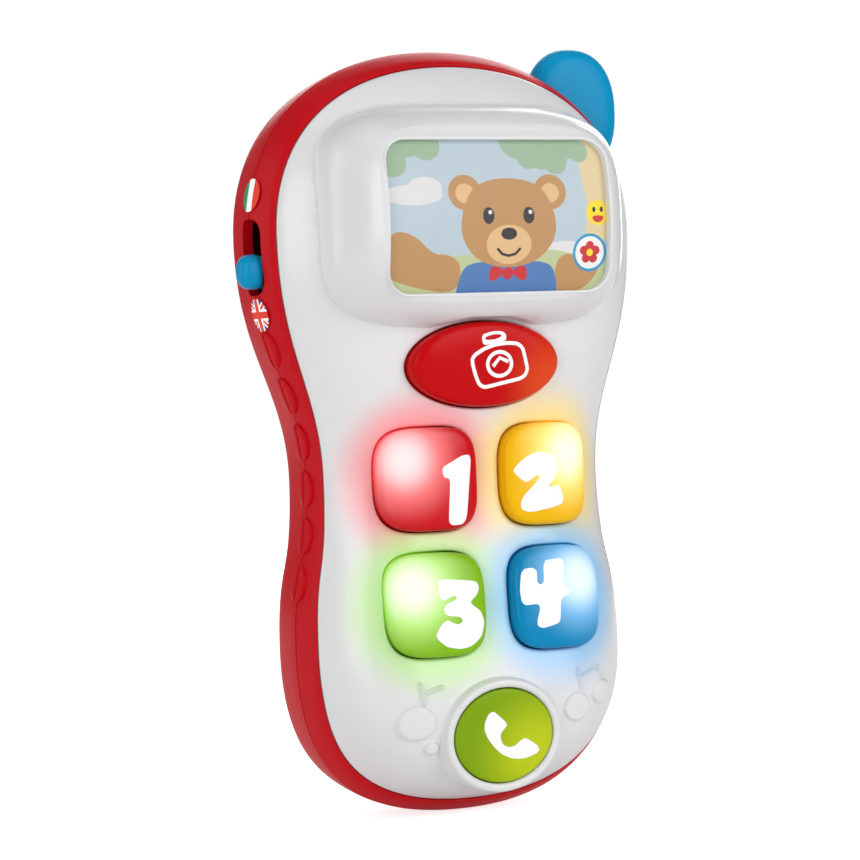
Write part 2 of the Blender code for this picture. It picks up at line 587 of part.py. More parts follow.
# ---------------------------------------------------------------- language slider on the -X flank
KX = -45.7
rings = []
for r, x in ((0.0, KX - 3.9), (0.45, KX - 3.6), (0.78, KX - 2.7), (0.97, KX - 1.2), (1.0, KX + 0.6), (0.96, KX + 1.6)):
    pts = squircle(0, 0, 3.0 * r, 3.8 * r, 2.6, 16) if r else [(0, 0)]
    rings.append([(x, -0.2 + a, SLIDER_Z + b) for a, b in pts])
slider = loft("language_slider", rings, BLUE)
join(slider, box("stem", (KX + 1.0, -41.1), (0.6, 3.0), (SLIDER_Z - 1.6, SLIDER_Z + 1.6)))
join(slider, box("shutter", (-41.7, -40.9), (0.5, 6.2), (SLIDER_Z - 4.8, SLIDER_Z + 4.8)))
box("language_switch", (-34.0, -27.5), (BOARD_Y[1] + GAP, 8.0), (118.2, 130.0), STEEL)
box("language_switch_lever", (-40.5, -34.4), (4.6, 6.0), (SLIDER_Z - 0.9, SLIDER_Z + 0.9), EPOXY)

# ---------------------------------------------------------------- power slider on the back
PX = -2.6
knob = prism("power_slider", round_rect(PX, POWER_Z, 3.4, 2.7, 0.8, 2), REAR_Y - 1.15, REAR_Y - 0.25, BLUE)
join(knob, box("stem", (PX - 1.6, PX + 1.6), (13.4, REAR_Y - 0.8), (POWER_Z - 1.2, POWER_Z + 1.2)))
box("power_switch", (-5.6, 5.6), (BOARD_Y[1] + GAP, 10.2), (POWER_Z - 2.6, POWER_Z + 2.6), STEEL)
box("power_switch_lever", (PX - 0.8, PX + 0.8), (10.52, 13.05), (POWER_Z - 0.8, POWER_Z + 0.8), EPOXY)


# ---------------------------------------------------------------- round labels on the -X flank
def flank_x(y, z):
    """Outer skin of the closed housing on the -X side."""
    near = sorted((p for p in SEAM_EDGE if p.x > 0), key=lambda p: abs(p.y - z))[:2]
    t = (z - near[0].y) / (near[1].y - near[0].y)
    seam = near[0].x + (near[1].x - near[0].x) * t
    if y >= 0:
        return -(seam - 0.25 * min(y / 5.5, 1.0))
    d = y / rim_y(z)
    f = 0.08 * min(d / 0.15, 1.0) + 0.26 * min(max(d - 0.15, 0) / 0.33, 1.0)
    f += 0.32 * min(max(d - 0.48, 0) / 0.32, 1.0)
    return -(seam - f * 2.9)


for name, z in LABELS.items():
    rings = [[(flank_x(-0.2, z) - 0.3, -0.2, z)]]
    for r, out in ((1.8, 0.3), (3.6, 0.3), (3.6, 0.5), (1.8, 0.5)):
        rings.append([(flank_x(-0.2 + a, z + b) - out, -0.2 + a, z + b) for a, b in circle(0, 0, r, 16)])
    rings.append([(flank_x(-0.2, z) - 0.5, -0.2, z)])
    loft(name, rings, STICKER)

# ---------------------------------------------------------------- wires
WIRE_R = 0.6
supply_route = [(11.6, 12.0, 76.6), (16.5, 11.5, 78), (19.5, 8.0, 80), (19.5, 4.6, 82), (19.5, 3.4, 84)]
tube("battery_wire_red", supply_route, WIRE_R, 6, WIRE_RED)
tube("battery_wire_black", [(-x, y, z) for x, y, z in supply_route], WIRE_R, 6, WIRE_BLACK)
tube("speaker_wire", [(9.8, 10.6, 118.0), (12.0, 7.5, 115.0), (13.0, 4.8, 112.5), (13.0, 3.4, 110.0)],
     WIRE_R, 6, WIRE_RED)

# ---------------------------------------------------------------- finish: scale to metres, joint origins
for ob in list(bpy.data.objects):
    bm = bmesh.new()
    bm.from_mesh(ob.data)
    bmesh.ops.remove_doubles(bm, verts=bm.verts, dist=2e-4)
    bmesh.ops.dissolve_degenerate(bm, edges=bm.edges, dist=2e-4)
    bmesh.ops.recalc_face_normals(bm, faces=bm.faces)
    bmesh.ops.transform(bm, matrix=Matrix.Scale(MM, 4) @ Matrix.Translation(-ORIGIN), verts=bm.verts)
    bm.to_mesh(ob.data)
    bm.free()

ORIGINS = {name: (x, skin(x, z), z) for name, (x, z) in KEY_POST.items()}
ORIGINS["camera_button"] = (CAMERA_AT[0], skin(*CAMERA_AT), CAMERA_AT[1])
ORIGINS["call_button"] = on_boss([CALL_AT], 0)[0]
ORIGINS["language_slider"] = (KX, -0.2, SLIDER_Z)
ORIGINS["language_switch_lever"] = (KX, -0.2, SLIDER_Z)
ORIGINS["power_slider"] = (PX, REAR_Y, POWER_Z)
ORIGINS["power_switch_lever"] = (PX, REAR_Y, POWER_Z)
ORIGINS["battery_door"] = (0, REAR_Y, sum(DOOR_Z) / 2)
ORIGINS["battery_door_screw"] = (0, REAR_Y, sum(DOOR_Z) / 2)
for name, origin in ORIGINS.items():
    ob = bpy.data.objects[name]
    shift = (Vector(origin) - ORIGIN) * MM
    ob.data.transform(Matrix.Translation(-shift))
    ob.location = shift
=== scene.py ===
"""Looks of the toy cell phone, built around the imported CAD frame.

Body by body: the white face plate, the two halves of the red housing, the buttons and what is printed on
them, the screen's picture and window, the antenna, the flank's slider and stickers, and the stage.
Lengths are millimetres in the part's own design frame; to_world() turns them into the frame's metres.
"""
import math

import bmesh
import bpy
import numpy as np
from mathutils import Matrix, Vector
from mathutils.bvhtree import BVHTree
from mathutils.geometry import delaunay_2d_cdt
from mathutils.kdtree import KDTree


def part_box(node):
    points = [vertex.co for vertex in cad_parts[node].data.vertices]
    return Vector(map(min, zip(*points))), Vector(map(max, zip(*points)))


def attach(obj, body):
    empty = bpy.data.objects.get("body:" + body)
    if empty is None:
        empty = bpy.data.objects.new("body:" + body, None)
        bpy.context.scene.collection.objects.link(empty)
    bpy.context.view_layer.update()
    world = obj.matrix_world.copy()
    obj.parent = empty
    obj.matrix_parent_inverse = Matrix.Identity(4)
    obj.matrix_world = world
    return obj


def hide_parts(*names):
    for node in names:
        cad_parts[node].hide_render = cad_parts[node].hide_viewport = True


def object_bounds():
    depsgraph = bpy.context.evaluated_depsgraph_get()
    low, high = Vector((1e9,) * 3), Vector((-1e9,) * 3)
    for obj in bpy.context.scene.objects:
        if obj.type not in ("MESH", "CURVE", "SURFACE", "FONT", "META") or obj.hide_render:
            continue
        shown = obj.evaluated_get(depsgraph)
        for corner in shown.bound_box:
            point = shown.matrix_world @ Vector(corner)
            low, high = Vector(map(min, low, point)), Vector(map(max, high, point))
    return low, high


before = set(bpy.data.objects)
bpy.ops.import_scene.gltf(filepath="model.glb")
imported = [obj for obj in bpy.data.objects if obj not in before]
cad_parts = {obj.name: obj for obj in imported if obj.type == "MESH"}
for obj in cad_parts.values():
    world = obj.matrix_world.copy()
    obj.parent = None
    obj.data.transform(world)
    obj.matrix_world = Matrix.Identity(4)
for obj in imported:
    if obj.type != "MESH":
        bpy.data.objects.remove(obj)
cad_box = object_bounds()

MM = 0.001
REAR_Y = 20.0
ORIGIN = Vector((0.0, REAR_Y, 90.5))      # the frame's origin in the design frame
GAP = 0.32
WALL = 2.2
STEPS = 80          # points on each of the eight outline curves

# Outline knots: (half width, height, handle before, handle after).
FACE = [(0, 3.0, 0, 26.3), (36.7, 37.5, 22.6, 20.3), (33.4, 74.8, 21.2, 20.2),
        (42.8, 128.4, 26.4, 21.8), (0, 164.8, 27.5, 0)]
SEAM = [(0, 0.0, 0, 28.5), (38.4, 37.5, 24.5, 20.3), (34.6, 74.8, 21.2, 20.2),
        (45.7, 128.4, 26.4, 23.6), (0, 168.9, 29.8, 0)]
SPINE = (26.0, 130.0)                     # ends of the crown's ridge
# Heights and values between which these ease: the face's rim, its crown and how blunt the crown is.
RIM = [(3.0, -6.6), (30.0, -9.4), (75.0, -7.6), (128.0, -9.4)]
CROWN = [(18.0, 13.2), (47.0, 11.2), (75.0, 10.0), (125.0, 11.5)]
BLUNT = [(47.0, 4.8), (75.0, 3.6)]
LEDGE = 0.8
KEY_HALF, KEY_POWER = (11.0, 11.15), 3.6
CAMERA_HALF = (17.8, 9.2)
CALL_HALF = (11.7, 10.2)
CALL_Y, CALL_LEAN = -22.6, 0.09           # the flat top of the call button's ring
WINDOW_HALF, WINDOW_R = (26.1, 16.3), 5.0
BEZEL_HALF, BEZEL_Z = (36.0, 24.2), 131.4
SCREEN_Y, SCREEN_BOW = -31.8, 2.5         # front of the screen rim, and how far its ends fall back
SLOT_Z = (115.6, 132.2)
SLOT_FLOOR = -42.9
GRIP_Z = [52.6, 63.0, 73.2, 83.4, 93.6, 103.8]


def to_world(p):
    return (Vector(p) - ORIGIN) * MM


def middle(node):
    """Centre of a CAD node's box, in the design frame."""
    low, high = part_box(node)
    return (Vector(low) + Vector(high)) / (2 * MM) + ORIGIN


def place(node):
    """(x, z) of a CAD node's centre."""
    m = middle(node)
    return m.x, m.z


CAP_SHIFT = 0.2                           # the caps sit this far towards -X of the CAD keys' centres
KEYS = {name: (place(name)[0] - CAP_SHIFT, place(name)[1]) for name in ("key_1", "key_2", "key_3", "key_4")}
CAMERA_AT, CALL_AT = place("camera_button"), place("call_button")
SCREEN_Z = middle("screen_window").z


# ---------------------------------------------------------------- materials
def nodes_of(material):
    tree = material.node_tree
    return tree, tree.nodes["Principled BSDF"]


def set_inputs(node, values):
    for name, value in values.items():
        node.inputs[name].default_value = value


def add_node(tree, kind, values, links):
    """A shader node with some inputs set to values and others fed by sockets."""
    node = tree.nodes.new("ShaderNode" + kind)
    set_inputs(node, values)
    for name, source in links.items():
        tree.links.new(source, node.inputs[name])
    return node


def object_place(tree):
    return tree.nodes.new("ShaderNodeTexCoord").outputs["Object"]


def mixed(tree, a, b, amount):
    """Colour between a and b, each an RGB colour or a socket, by the amount that a socket gives."""
    mix = tree.nodes.new("ShaderNodeMix")
    mix.data_type = "RGBA"
    for name, value in (("A", a), ("B", b)):
        if isinstance(value, bpy.types.NodeSocket):
            tree.links.new(value, mix.inputs[name])
        else:
            mix.inputs[name].default_value = (*value, 1)
    tree.links.new(amount, mix.inputs["Factor"])
    return mix.outputs["Result"]


def plastic(name, color, roughness=0.3, grain=0.02, mottle=0.03, specular=0.5):
    """Moulded plastic: faint mottling in colour and gloss, and a fine moulded grain."""
    material = bpy.data.materials.new(name)
    material.use_nodes = True
    tree, shader = nodes_of(material)
    shader.inputs["Specular IOR Level"].default_value = specular
    place_of = object_place(tree)
    cloud = add_node(tree, "TexNoise", {"Scale": 60.0, "Detail": 3.0}, {"Vector": place_of}).outputs["Fac"]
    dark, light = ([min(1.0, c * share) for c in color] for share in (1 - mottle, 1 + mottle))
    tree.links.new(mixed(tree, dark, light, cloud), shader.inputs["Base Color"])
    span = {"To Min": roughness * 0.85, "To Max": roughness * 1.15}
    gloss = add_node(tree, "MapRange", span, {"Value": cloud})
    tree.links.new(gloss.outputs["Result"], shader.inputs["Roughness"])
    fine = add_node(tree, "TexNoise", {"Scale": 2600.0}, {"Vector": place_of}).outputs["Fac"]
    bump = add_node(tree, "Bump", {"Strength": grain, "Distance": 0.0002}, {"Height": fine})
    tree.links.new(bump.outputs["Normal"], shader.inputs["Normal"])
    return material


def metal(name, color, roughness=0.3):
    material = plastic(name, color, roughness, 0.05, 0.08)
    nodes_of(material)[1].inputs["Metallic"].default_value = 1.0
    return material


def falloff(tree, centre, inner, outer):
    """1 inside the inner radius around a design point, fading to 0 at the outer radius."""
    away = tree.nodes.new("ShaderNodeVectorMath")
    away.operation = "DISTANCE"
    away.inputs[1].default_value = to_world(centre)
    tree.links.new(object_place(tree), away.inputs[0])
    reach = {"From Min": outer * MM, "From Max": inner * MM}
    fade = add_node(tree, "MapRange", reach, {"Value": away.outputs["Value"]})
    fade.interpolation_type = "SMOOTHERSTEP"
    return fade.outputs["Result"]


def tint(tree, shader, color, amount):
    """Mix a colour over what already feeds the shader's base colour, by an amount that varies."""
    base = shader.inputs["Base Color"]
    tree.links.new(mixed(tree, base.links[0].from_socket, color, amount), base)


def scaled(tree, value, factor):
    """A socket's value times a number."""
    times = tree.nodes.new("ShaderNodeMath")
    times.operation = "MULTIPLY"
    tree.links.new(value, times.inputs[0])
    times.inputs[1].default_value = factor
    return times.outputs["Value"]


# ---------------------------------------------------------------- outlines
def outline(knots, steps):
    """Closed outline from the bottom, up the +X side and back down the -X side."""
    side = []
    for k, (a, b) in enumerate(zip(knots, knots[1:])):
        p0, p3 = Vector((a[0], a[1])), Vector((b[0], b[1]))
        p1 = p0 + (Vector((a[3], 0)) if k == 0 else Vector((0, a[3])))
        p2 = p3 + (Vector((b[2], 0)) if k == len(knots) - 2 else Vector((0, -b[2])))
        for t in (i / steps for i in range(steps)):
            u = 1 - t
            side.append(u ** 3 * p0 + 3 * t * u ** 2 * p1 + 3 * t * t * u * p2 + t ** 3 * p3)
    side.append(Vector((knots[-1][0], knots[-1][1])))
    return np.array([tuple(p) for p in side] + [(-p.x, p.y) for p in reversed(side[1:-1])])


def inset(loop, distance):
    """A closed counter-clockwise loop, moved inwards."""
    along = np.roll(loop, -1, 0) - np.roll(loop, 1, 0)
    along /= np.linalg.norm(along, axis=1)[:, None]
    return loop + distance * np.stack([-along[:, 1], along[:, 0]], 1)


def resampled(loop, spacing):
    closed = np.vstack([loop, loop[:1]])
    run = np.concatenate([[0], np.cumsum(np.linalg.norm(np.diff(closed, axis=0), axis=1))])
    count = max(8, int(run[-1] / spacing))
    at = np.linspace(0, run[-1], count, endpoint=False)
    return np.stack([np.interp(at, run, closed[:, 0]), np.interp(at, run, closed[:, 1])], 1)


def ellipse(centre, rx, rz, n):
    a = np.arange(n) * 2 * math.pi / n
    return np.stack([centre[0] + rx * np.cos(a), centre[1] + rz * np.sin(a)], 1)


def squircle(centre, hx, hz, power, n):
    a = (np.arange(n) + 0.5) * 2 * math.pi / n
    c, s = np.cos(a), np.sin(a)
    return np.stack([centre[0] + hx * np.sign(c) * np.abs(c) ** (2 / power),
                     centre[1] + hz * np.sign(s) * np.abs(s) ** (2 / power)], 1)


def rounded_rect(centre, hx, hz, r, corner=8):
    points = []
    for sx, sz, start in ((1, 1, 0), (-1, 1, 90), (-1, -1, 180), (1, -1, 270)):
        x, z = centre[0] + sx * (hx - r), centre[1] + sz * (hz - r)
        for i in range(corner + 1):
            a = math.radians(start + 90 * i / corner)
            points.append((x + r * math.cos(a), z + r * math.sin(a)))
    return np.array(points)


def rounded_corners(points, cuts=(0.16, 0.25)):
    """Cut an outline's corners, a share of each edge at a time, until it is soft."""
    loop = np.array(points, float)
    for share in cuts:
        step = share * (np.roll(loop, -1, 0) - loop)
        loop = np.stack([loop + step, np.roll(loop, -1, 0) - step], 1).reshape(-1, 2)
    return loop


def stroke(points, width):
    """Outline of an open line drawn with a pen of a given width."""
    line = np.array(points, float)
    along = np.gradient(line, axis=0)
    along /= np.linalg.norm(along, axis=1)[:, None]
    side = np.stack([-along[:, 1], along[:, 0]], 1) * width / 2
    return np.vstack([line - side, (line + side)[::-1]])


def curve_through(points, samples):
    """Smooth monotone curve through (x, y, ...) rows, sampled evenly by length."""
    rows = np.array(points, float)
    run = np.concatenate([[0], np.cumsum(np.linalg.norm(np.diff(rows, axis=0), axis=1))])
    at = np.linspace(0, run[-1], samples)
    out = []
    for column in rows.T:
        step = np.diff(column) / np.diff(run)
        product, total = step[1:] * step[:-1], step[1:] + step[:-1]
        inner = np.where(product > 0, 2 * product / np.where(total == 0, 1, total), 0.0)
        slope = np.concatenate([[step[0]], inner, [step[-1]]])
        k = np.clip(np.searchsorted(run, at, side="right") - 1, 0, len(run) - 2)
        h = run[k + 1] - run[k]
        t = (at - run[k]) / h
        out.append((2 * t ** 3 - 3 * t ** 2 + 1) * column[k] + (t ** 3 - 2 * t ** 2 + t) * h * slope[k]
                   + (3 * t ** 2 - 2 * t ** 3) * column[k + 1] + (t ** 3 - t ** 2) * h * slope[k + 1])
    return np.stack(out, 1)


FACE_LOOP, SEAM_LOOP = outline(FACE, STEPS), outline(SEAM, STEPS)
PLATE_LOOP = inset(FACE_LOOP, 0.35)


# ---------------------------------------------------------------- crowned face
def smooth(t):
    t = np.clip(t, 0, 1)
    return t * t * (3 - 2 * t)


def stepped(knots, z):
    """Value at a height, easing from knot to knot and level beyond the ends."""
    z = np.asarray(z, float)
    value = np.full(z.shape, float(knots[0][1]))
    for (z0, v0), (z1, v1) in zip(knots, knots[1:]):
        value = value + (v1 - v0) * smooth((z - z0) / (z1 - z0))
    return value


def rim_y(z):
    return stepped(RIM, z)


def reach_table(ridge, top):
    """Distance from the ridge's end to the plate's edge, by angle above the horizontal."""
    half = PLATE_LOOP[PLATE_LOOP[:, 0] >= 0]
    part = half[half[:, 1] >= ridge] if top else half[half[:, 1] <= ridge]
    angle = np.arctan2(np.abs(part[:, 1] - ridge), part[:, 0])
    order = np.argsort(angle)
    return angle[order], np.hypot(part[:, 0], part[:, 1] - ridge)[order]


TOP_REACH, LOW_REACH = reach_table(SPINE[1], True), reach_table(SPINE[0], False)
SIDE = PLATE_LOOP[:4 * STEPS + 1]


def spread(x, z):
    """0 on the crown's ridge, 1 at the plate's edge."""
    x, z = np.abs(np.asarray(x, float)), np.asarray(z, float)
    side = x / np.interp(z, SIDE[:, 1], SIDE[:, 0])
    up = np.hypot(x, z - SPINE[1]) / np.interp(np.arctan2(z - SPINE[1], x), *TOP_REACH)
    down = np.hypot(x, z - SPINE[0]) / np.interp(np.arctan2(SPINE[0] - z, x), *LOW_REACH)
    return np.where(z > SPINE[1], up, np.where(z < SPINE[0], down, side))


def skin(x, z):
    """Depth of the white face's outer skin."""
    z = np.asarray(z, float)
    return rim_y(z) - stepped(CROWN, z) * (1 - np.minimum(spread(x, z), 1.0) ** stepped(BLUNT, z))


def call_loop(grow):
    return ellipse(CALL_AT, CALL_HALF[0] + grow, CALL_HALF[1] + grow, 140)


def on_boss(loop, offset):
    """A loop laid on the flat top of the call button's ring."""
    return at_depth(loop, CALL_Y - CALL_LEAN * (loop[:, 1] - CALL_AT[1]) + offset)


def screen_front(z):
    """Depth of the screen rim, which is bowed from top to bottom."""
    return SCREEN_Y + SCREEN_BOW * ((np.asarray(z, float) - SCREEN_Z) / WINDOW_HALF[1]) ** 2


# ---------------------------------------------------------------- mesh helpers
def add_object(name, data):
    ob = bpy.data.objects.new(name, data)
    bpy.context.scene.collection.objects.link(ob)
    return ob


def mesh_from(name, verts, faces):
    """A mesh whose points are given in the design frame."""
    mesh = bpy.data.meshes.new(name)
    mesh.from_pydata([tuple(to_world(v)) for v in verts], [], [tuple(int(i) for i in f) for f in faces])
    return mesh


def piece(name, shell, material, body, replaces=(), angle=38):
    """A Shell as an object that rides on a body, in place of CAD nodes if any are named."""
    ob = add_object(name, mesh_from(name, shell.verts, shell.faces))
    return dress(ob, material, body, replaces, angle)


def dress(ob, material, body, replaces=(), angle=38):
    """Clean an object's mesh, finish it and put it on its body."""
    mesh = ob.data
    bm = bmesh.new()
    bm.from_mesh(mesh)
    bmesh.ops.remove_doubles(bm, verts=bm.verts, dist=2e-6)
    bmesh.ops.recalc_face_normals(bm, faces=bm.faces)
    bm.to_mesh(mesh)
    bm.free()
    if material and not mesh.materials:
        for one in (material if isinstance(material, list) else [material]):
            mesh.materials.append(one)
    mesh.shade_smooth()
    mesh.set_sharp_from_angle(angle=math.radians(angle))
    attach(ob, body)
    if replaces:
        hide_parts(*replaces)
    return ob


def ring_faces(first, second, n):
    return [(first + i, first + (i + 1) % n, second + (i + 1) % n, second + i) for i in range(n)]


class Shell:
    """Collects rings of points and the faces between them."""

    def __init__(self):
        self.verts, self.faces = [], []

    def rings(self, rings, loop=False, cap_start=False, cap_end=False):
        n = len(rings[0])
        starts = []
        for ring in rings:
            starts.append(len(self.verts))
            self.verts.extend(tuple(p) for p in ring)
        for a, b in zip(starts, starts[1:]):
            self.faces += ring_faces(a, b, n)
        if loop:
            self.faces += ring_faces(starts[-1], starts[0], n)
        for wanted, start, ring in ((cap_start, starts[0], rings[0]), (cap_end, starts[-1], rings[-1])):
            if wanted:
                self.verts.append(tuple(np.mean(np.array(ring), 0)))
                self.faces += [(start + i, start + (i + 1) % n, len(self.verts) - 1) for i in range(n)]
        return self


def capped(rings):
    """A closed Shell: rings with a cap at each end."""
    return Shell().rings(rings, cap_start=True, cap_end=True)


def at_depth(loop, y):
    """(x, z) loop to 3-D points, y a number or one for each point."""
    return np.stack([loop[:, 0], np.broadcast_to(y, len(loop)), loop[:, 1]], 1)


def across_x(loop, x):
    """(y, z) loop to 3-D points at one x."""
    return np.stack([np.full(len(loop), x), loop[:, 0], loop[:, 1]], 1)


def on_skin(loop, offset):
    return at_depth(loop, skin(loop[:, 0], loop[:, 1]) + offset)


def turned(centre, sections, n=32):
    """Rings around a Y axis: sections are (radius, y)."""
    return [at_depth(ellipse(centre, r, r, n), y) for r, y in sections]


def closed_solid(name, rings):
    """Capped rings as an object, to cut or to be cut."""
    shell = capped(rings)
    mesh = mesh_from(name, shell.verts, shell.faces)
    bm = bmesh.new()
    bm.from_mesh(mesh)
    bmesh.ops.recalc_face_normals(bm, faces=bm.faces)
    bm.to_mesh(mesh)
    bm.free()
    return add_object(name, mesh)


def block(name, x, y, z, r=0.6):
    """Box with rounded upright edges, along Y."""
    loop = rounded_rect(((x[0] + x[1]) / 2, (z[0] + z[1]) / 2), (x[1] - x[0]) / 2, (z[1] - z[0]) / 2, r, 4)
    return closed_solid(name, [at_depth(loop, y[0]), at_depth(loop, y[1])])


def cut_out(ob, cutters):
    """Take solids out of an object, and the solids out of the scene."""
    for cutter in cutters:
        modifier = ob.modifiers.new("cut", "BOOLEAN")
        modifier.object, modifier.operation, modifier.solver = cutter, "DIFFERENCE", "EXACT"
    graph = bpy.context.evaluated_depsgraph_get()
    mesh = bpy.data.meshes.new_from_object(ob.evaluated_get(graph))
    ob.modifiers.clear()
    ob.data = mesh
    for cutter in cutters:
        bpy.data.objects.remove(cutter, do_unlink=True)
    mesh.shade_smooth()
    mesh.set_sharp_from_angle(angle=math.radians(40))


def inside(points, loop):
    """Which points lie inside a closed loop."""
    a, b = loop, np.roll(loop, -1, 0)
    hit = np.zeros(len(points), bool)
    for (ax, az), (bx, bz) in zip(a, b):
        if az == bz:
            continue
        crosses = (az > points[:, 1]) != (bz > points[:, 1])
        x = ax + (points[:, 1] - az) * (bx - ax) / (bz - az)
        hit ^= crosses & (points[:, 0] < x)
    return hit


def lattice(low, high, step):
    """Triangular grid of points over a box."""
    across = np.arange(low[0], high[0], step)
    rows = np.arange(low[1], high[1], step * math.sqrt(0.75))
    return np.vstack([np.stack([across + (step / 2 if i % 2 else 0), np.full(len(across), z)], 1)
                      for i, z in enumerate(rows)])


def keep_clear(points, others, distance):
    """Points at least a distance from all the others."""
    tree = KDTree(len(others))
    for i, (x, z) in enumerate(others):
        tree.insert((x, z, 0), i)
    tree.balance()
    return np.array([p for p in points if tree.find((p[0], p[1], 0))[2] > distance])


def triangulated(loops, extra):
    """Triangles over loops of fixed edges and free points: (points, faces)."""
    points, edges = [], []
    for loop in loops:
        start, n = len(points), len(loop)
        points += [Vector((float(x), float(z))) for x, z in loop]
        edges += [(start + i, start + (i + 1) % n) for i in range(n)]
    points += [Vector((float(x), float(z))) for x, z in extra]
    out = delaunay_2d_cdt(points, edges, [], 0, 1e-5)
    return np.array([tuple(p) for p in out[0]]), [f for f in out[2] if len(f) == 3]


def print_on(name, shapes, depth, body, materials, step=1.2, limit=None):
    """A printed figure: the last shape that covers a spot gives its ink.

    shapes are (list of loops, material index), filled even-odd; depth gives y at (x, z)."""
    loops = [loop for group, _ in shapes for loop in group]
    every = np.vstack(loops)
    grid = keep_clear(lattice(every.min(0), every.max(0), step), every, step * 0.45)
    points, faces = triangulated(loops, grid)
    centres = np.array([points[list(f)].mean(0) for f in faces])
    ink = np.full(len(faces), -1)
    for group, index in shapes:
        covered = np.zeros(len(faces), bool)
        for loop in group:
            covered ^= inside(centres, loop)
        if limit is not None:
            covered &= inside(centres, limit)
        ink[covered] = index
    kept = [f for f, i in zip(faces, ink) if i >= 0]
    used = sorted({i for f in kept for i in f})
    renumber = {old: new for new, old in enumerate(used)}
    verts = [(points[i][0], float(depth(points[i][0], points[i][1])), points[i][1]) for i in used]
    mesh = mesh_from(name, verts, [[renumber[i] for i in f] for f in kept])
    for material in materials:
        mesh.materials.append(material)
    mesh.polygons.foreach_set("material_index", [int(i) for i in ink[ink >= 0]])
    for polygon in mesh.polygons:
        if polygon.normal.y > 0:
            polygon.flip()
    mesh.shade_smooth()
    ob = add_object(name, mesh)
    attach(ob, body)
    return ob


# ---------------------------------------------------------------- face plate
KEY_LOOPS = {name: lambda grow, at=at: squircle(at, KEY_HALF[0] + grow, KEY_HALF[1] + grow, KEY_POWER, 120)
             for name, at in KEYS.items()}
HOLES = dict(KEY_LOOPS)
HOLES["camera_button"] = lambda grow: ellipse(CAMERA_AT, CAMERA_HALF[0] + grow, CAMERA_HALF[1] + grow, 140)

# Raised note figures beside the call button: discs are (x, z, rx, rz), bars run between two points.
NOTE_DISCS = [(-19.8, 22.5, 4.1, 3.7), (-16.2, 16.7, 1.5, 1.35), (19.0, 23.1, 3.4, 3.1),
              (26.4, 25.7, 3.0, 2.6)]
NOTE_BARS = [((-18.2, 26.6), (-18.8, 30.9)), ((-17.1, 29.1), (-13.9, 30.0)), ((20.1, 27.3), (19.4, 31.1)),
             ((21.2, 30.0), (25.3, 31.4)), ((25.3, 31.4), (26.3, 29.1))]
NOTE_RISE, NOTE_EDGE = 0.95, 0.5          # how proud they are, and how wide their sloping edge is
NOTE_BOXES = [((-25, 14.2), (-12.8, 32.0)), ((14.8, 19), (30.8, 32.6))]


def note_relief(points):
    """How far the raised notes stand out of the face at each point."""
    away = np.full(len(points), 9.0)
    for x, z, rx, rz in NOTE_DISCS:
        ratio = np.hypot((points[:, 0] - x) / rx, (points[:, 1] - z) / rz)
        away = np.minimum(away, (ratio - 1) * min(rx, rz))
    for a, b in NOTE_BARS:
        a, b = np.array(a), np.array(b)
        t = np.clip(((points - a) @ (b - a)) / ((b - a) @ (b - a)), 0, 1)
        away = np.minimum(away, np.linalg.norm(points - a - t[:, None] * (b - a), axis=1) - 0.35)
    return NOTE_RISE * smooth(0.5 - away / NOTE_EDGE)


def notch(loop, clear):
    """Lift the surround's lower edge over the camera button."""
    rx, rz = CAMERA_HALF[0] + clear, CAMERA_HALF[1] + clear
    x = np.clip(np.abs(loop[:, 0]) / rx, 0, 1)
    arch = CAMERA_AT[1] + rz * np.sqrt(1 - x ** 2)
    z = np.where((np.abs(loop[:, 0]) < rx) & (loop[:, 1] < arch), arch, loop[:, 1])
    return np.stack([loop[:, 0], z], 1)


def window_loop(n, grow=0.0):
    """The window's rounded rectangle, met along the rays of the surround's rings."""
    rays = squircle((0, 0), 1.0, 0.65, 4.0, n)
    hx, hz, r = WINDOW_HALF[0] + grow, WINDOW_HALF[1] + grow, WINDOW_R + grow
    out = []
    for dx, dz in np.abs(rays):
        t = min(hx / dx, hz / dz)
        x, z = dx * t, dz * t
        if x > hx - r and z > hz - r:
            b = dx * (hx - r) + dz * (hz - r)
            a, c = dx * dx + dz * dz, (hx - r) ** 2 + (hz - r) ** 2 - r * r
            t = (b + math.sqrt(b * b - a * c)) / a
            x, z = dx * t, dz * t
        out.append((x, z))
    out = np.array(out) * np.sign(rays)
    return out + np.array((0, SCREEN_Z))


def surround_rings(n=200):
    """Pillow round the screen: from the face's skin up to the window's edge."""
    profile = curve_through([(0.985, 1.0, 4.2, 0.0), (0.973, 0.984, 4.2, 0.15), (0.952, 0.962, 4.2, 0.36),
                             (0.89, 0.915, 4.2, 0.62), (0.838, 0.865, 4.2, 0.79), (0.802, 0.825, 4.5, 0.88),
                             (0.768, 0.785, 4.8, 0.955)], 30)
    rings = []
    for hx, hz, power, lift in profile:
        loop = notch(squircle((0, BEZEL_Z), BEZEL_HALF[0] * hx, BEZEL_HALF[1] * hz, power, n), 1.3)
        x, z = loop.T
        rings.append(at_depth(loop, skin(x, z) * (1 - lift) + screen_front(z) * lift))
    edge = window_loop(n, 0.5)
    last = rings[-1]
    for t in (0.35, 0.7, 1.0):
        loop = last[:, [0, 2]] * (1 - t) + edge * t
        rings.append(at_depth(loop, last[:, 1] * (1 - t) + screen_front(loop[:, 1]) * t))
    for grow, down in ((0.28, 0.04), (0.1, 0.18), (0.0, 0.42), (0.0, 2.6)):
        loop = window_loop(n, grow)
        rings.append(at_depth(loop, screen_front(loop[:, 1]) + down))
    return rings


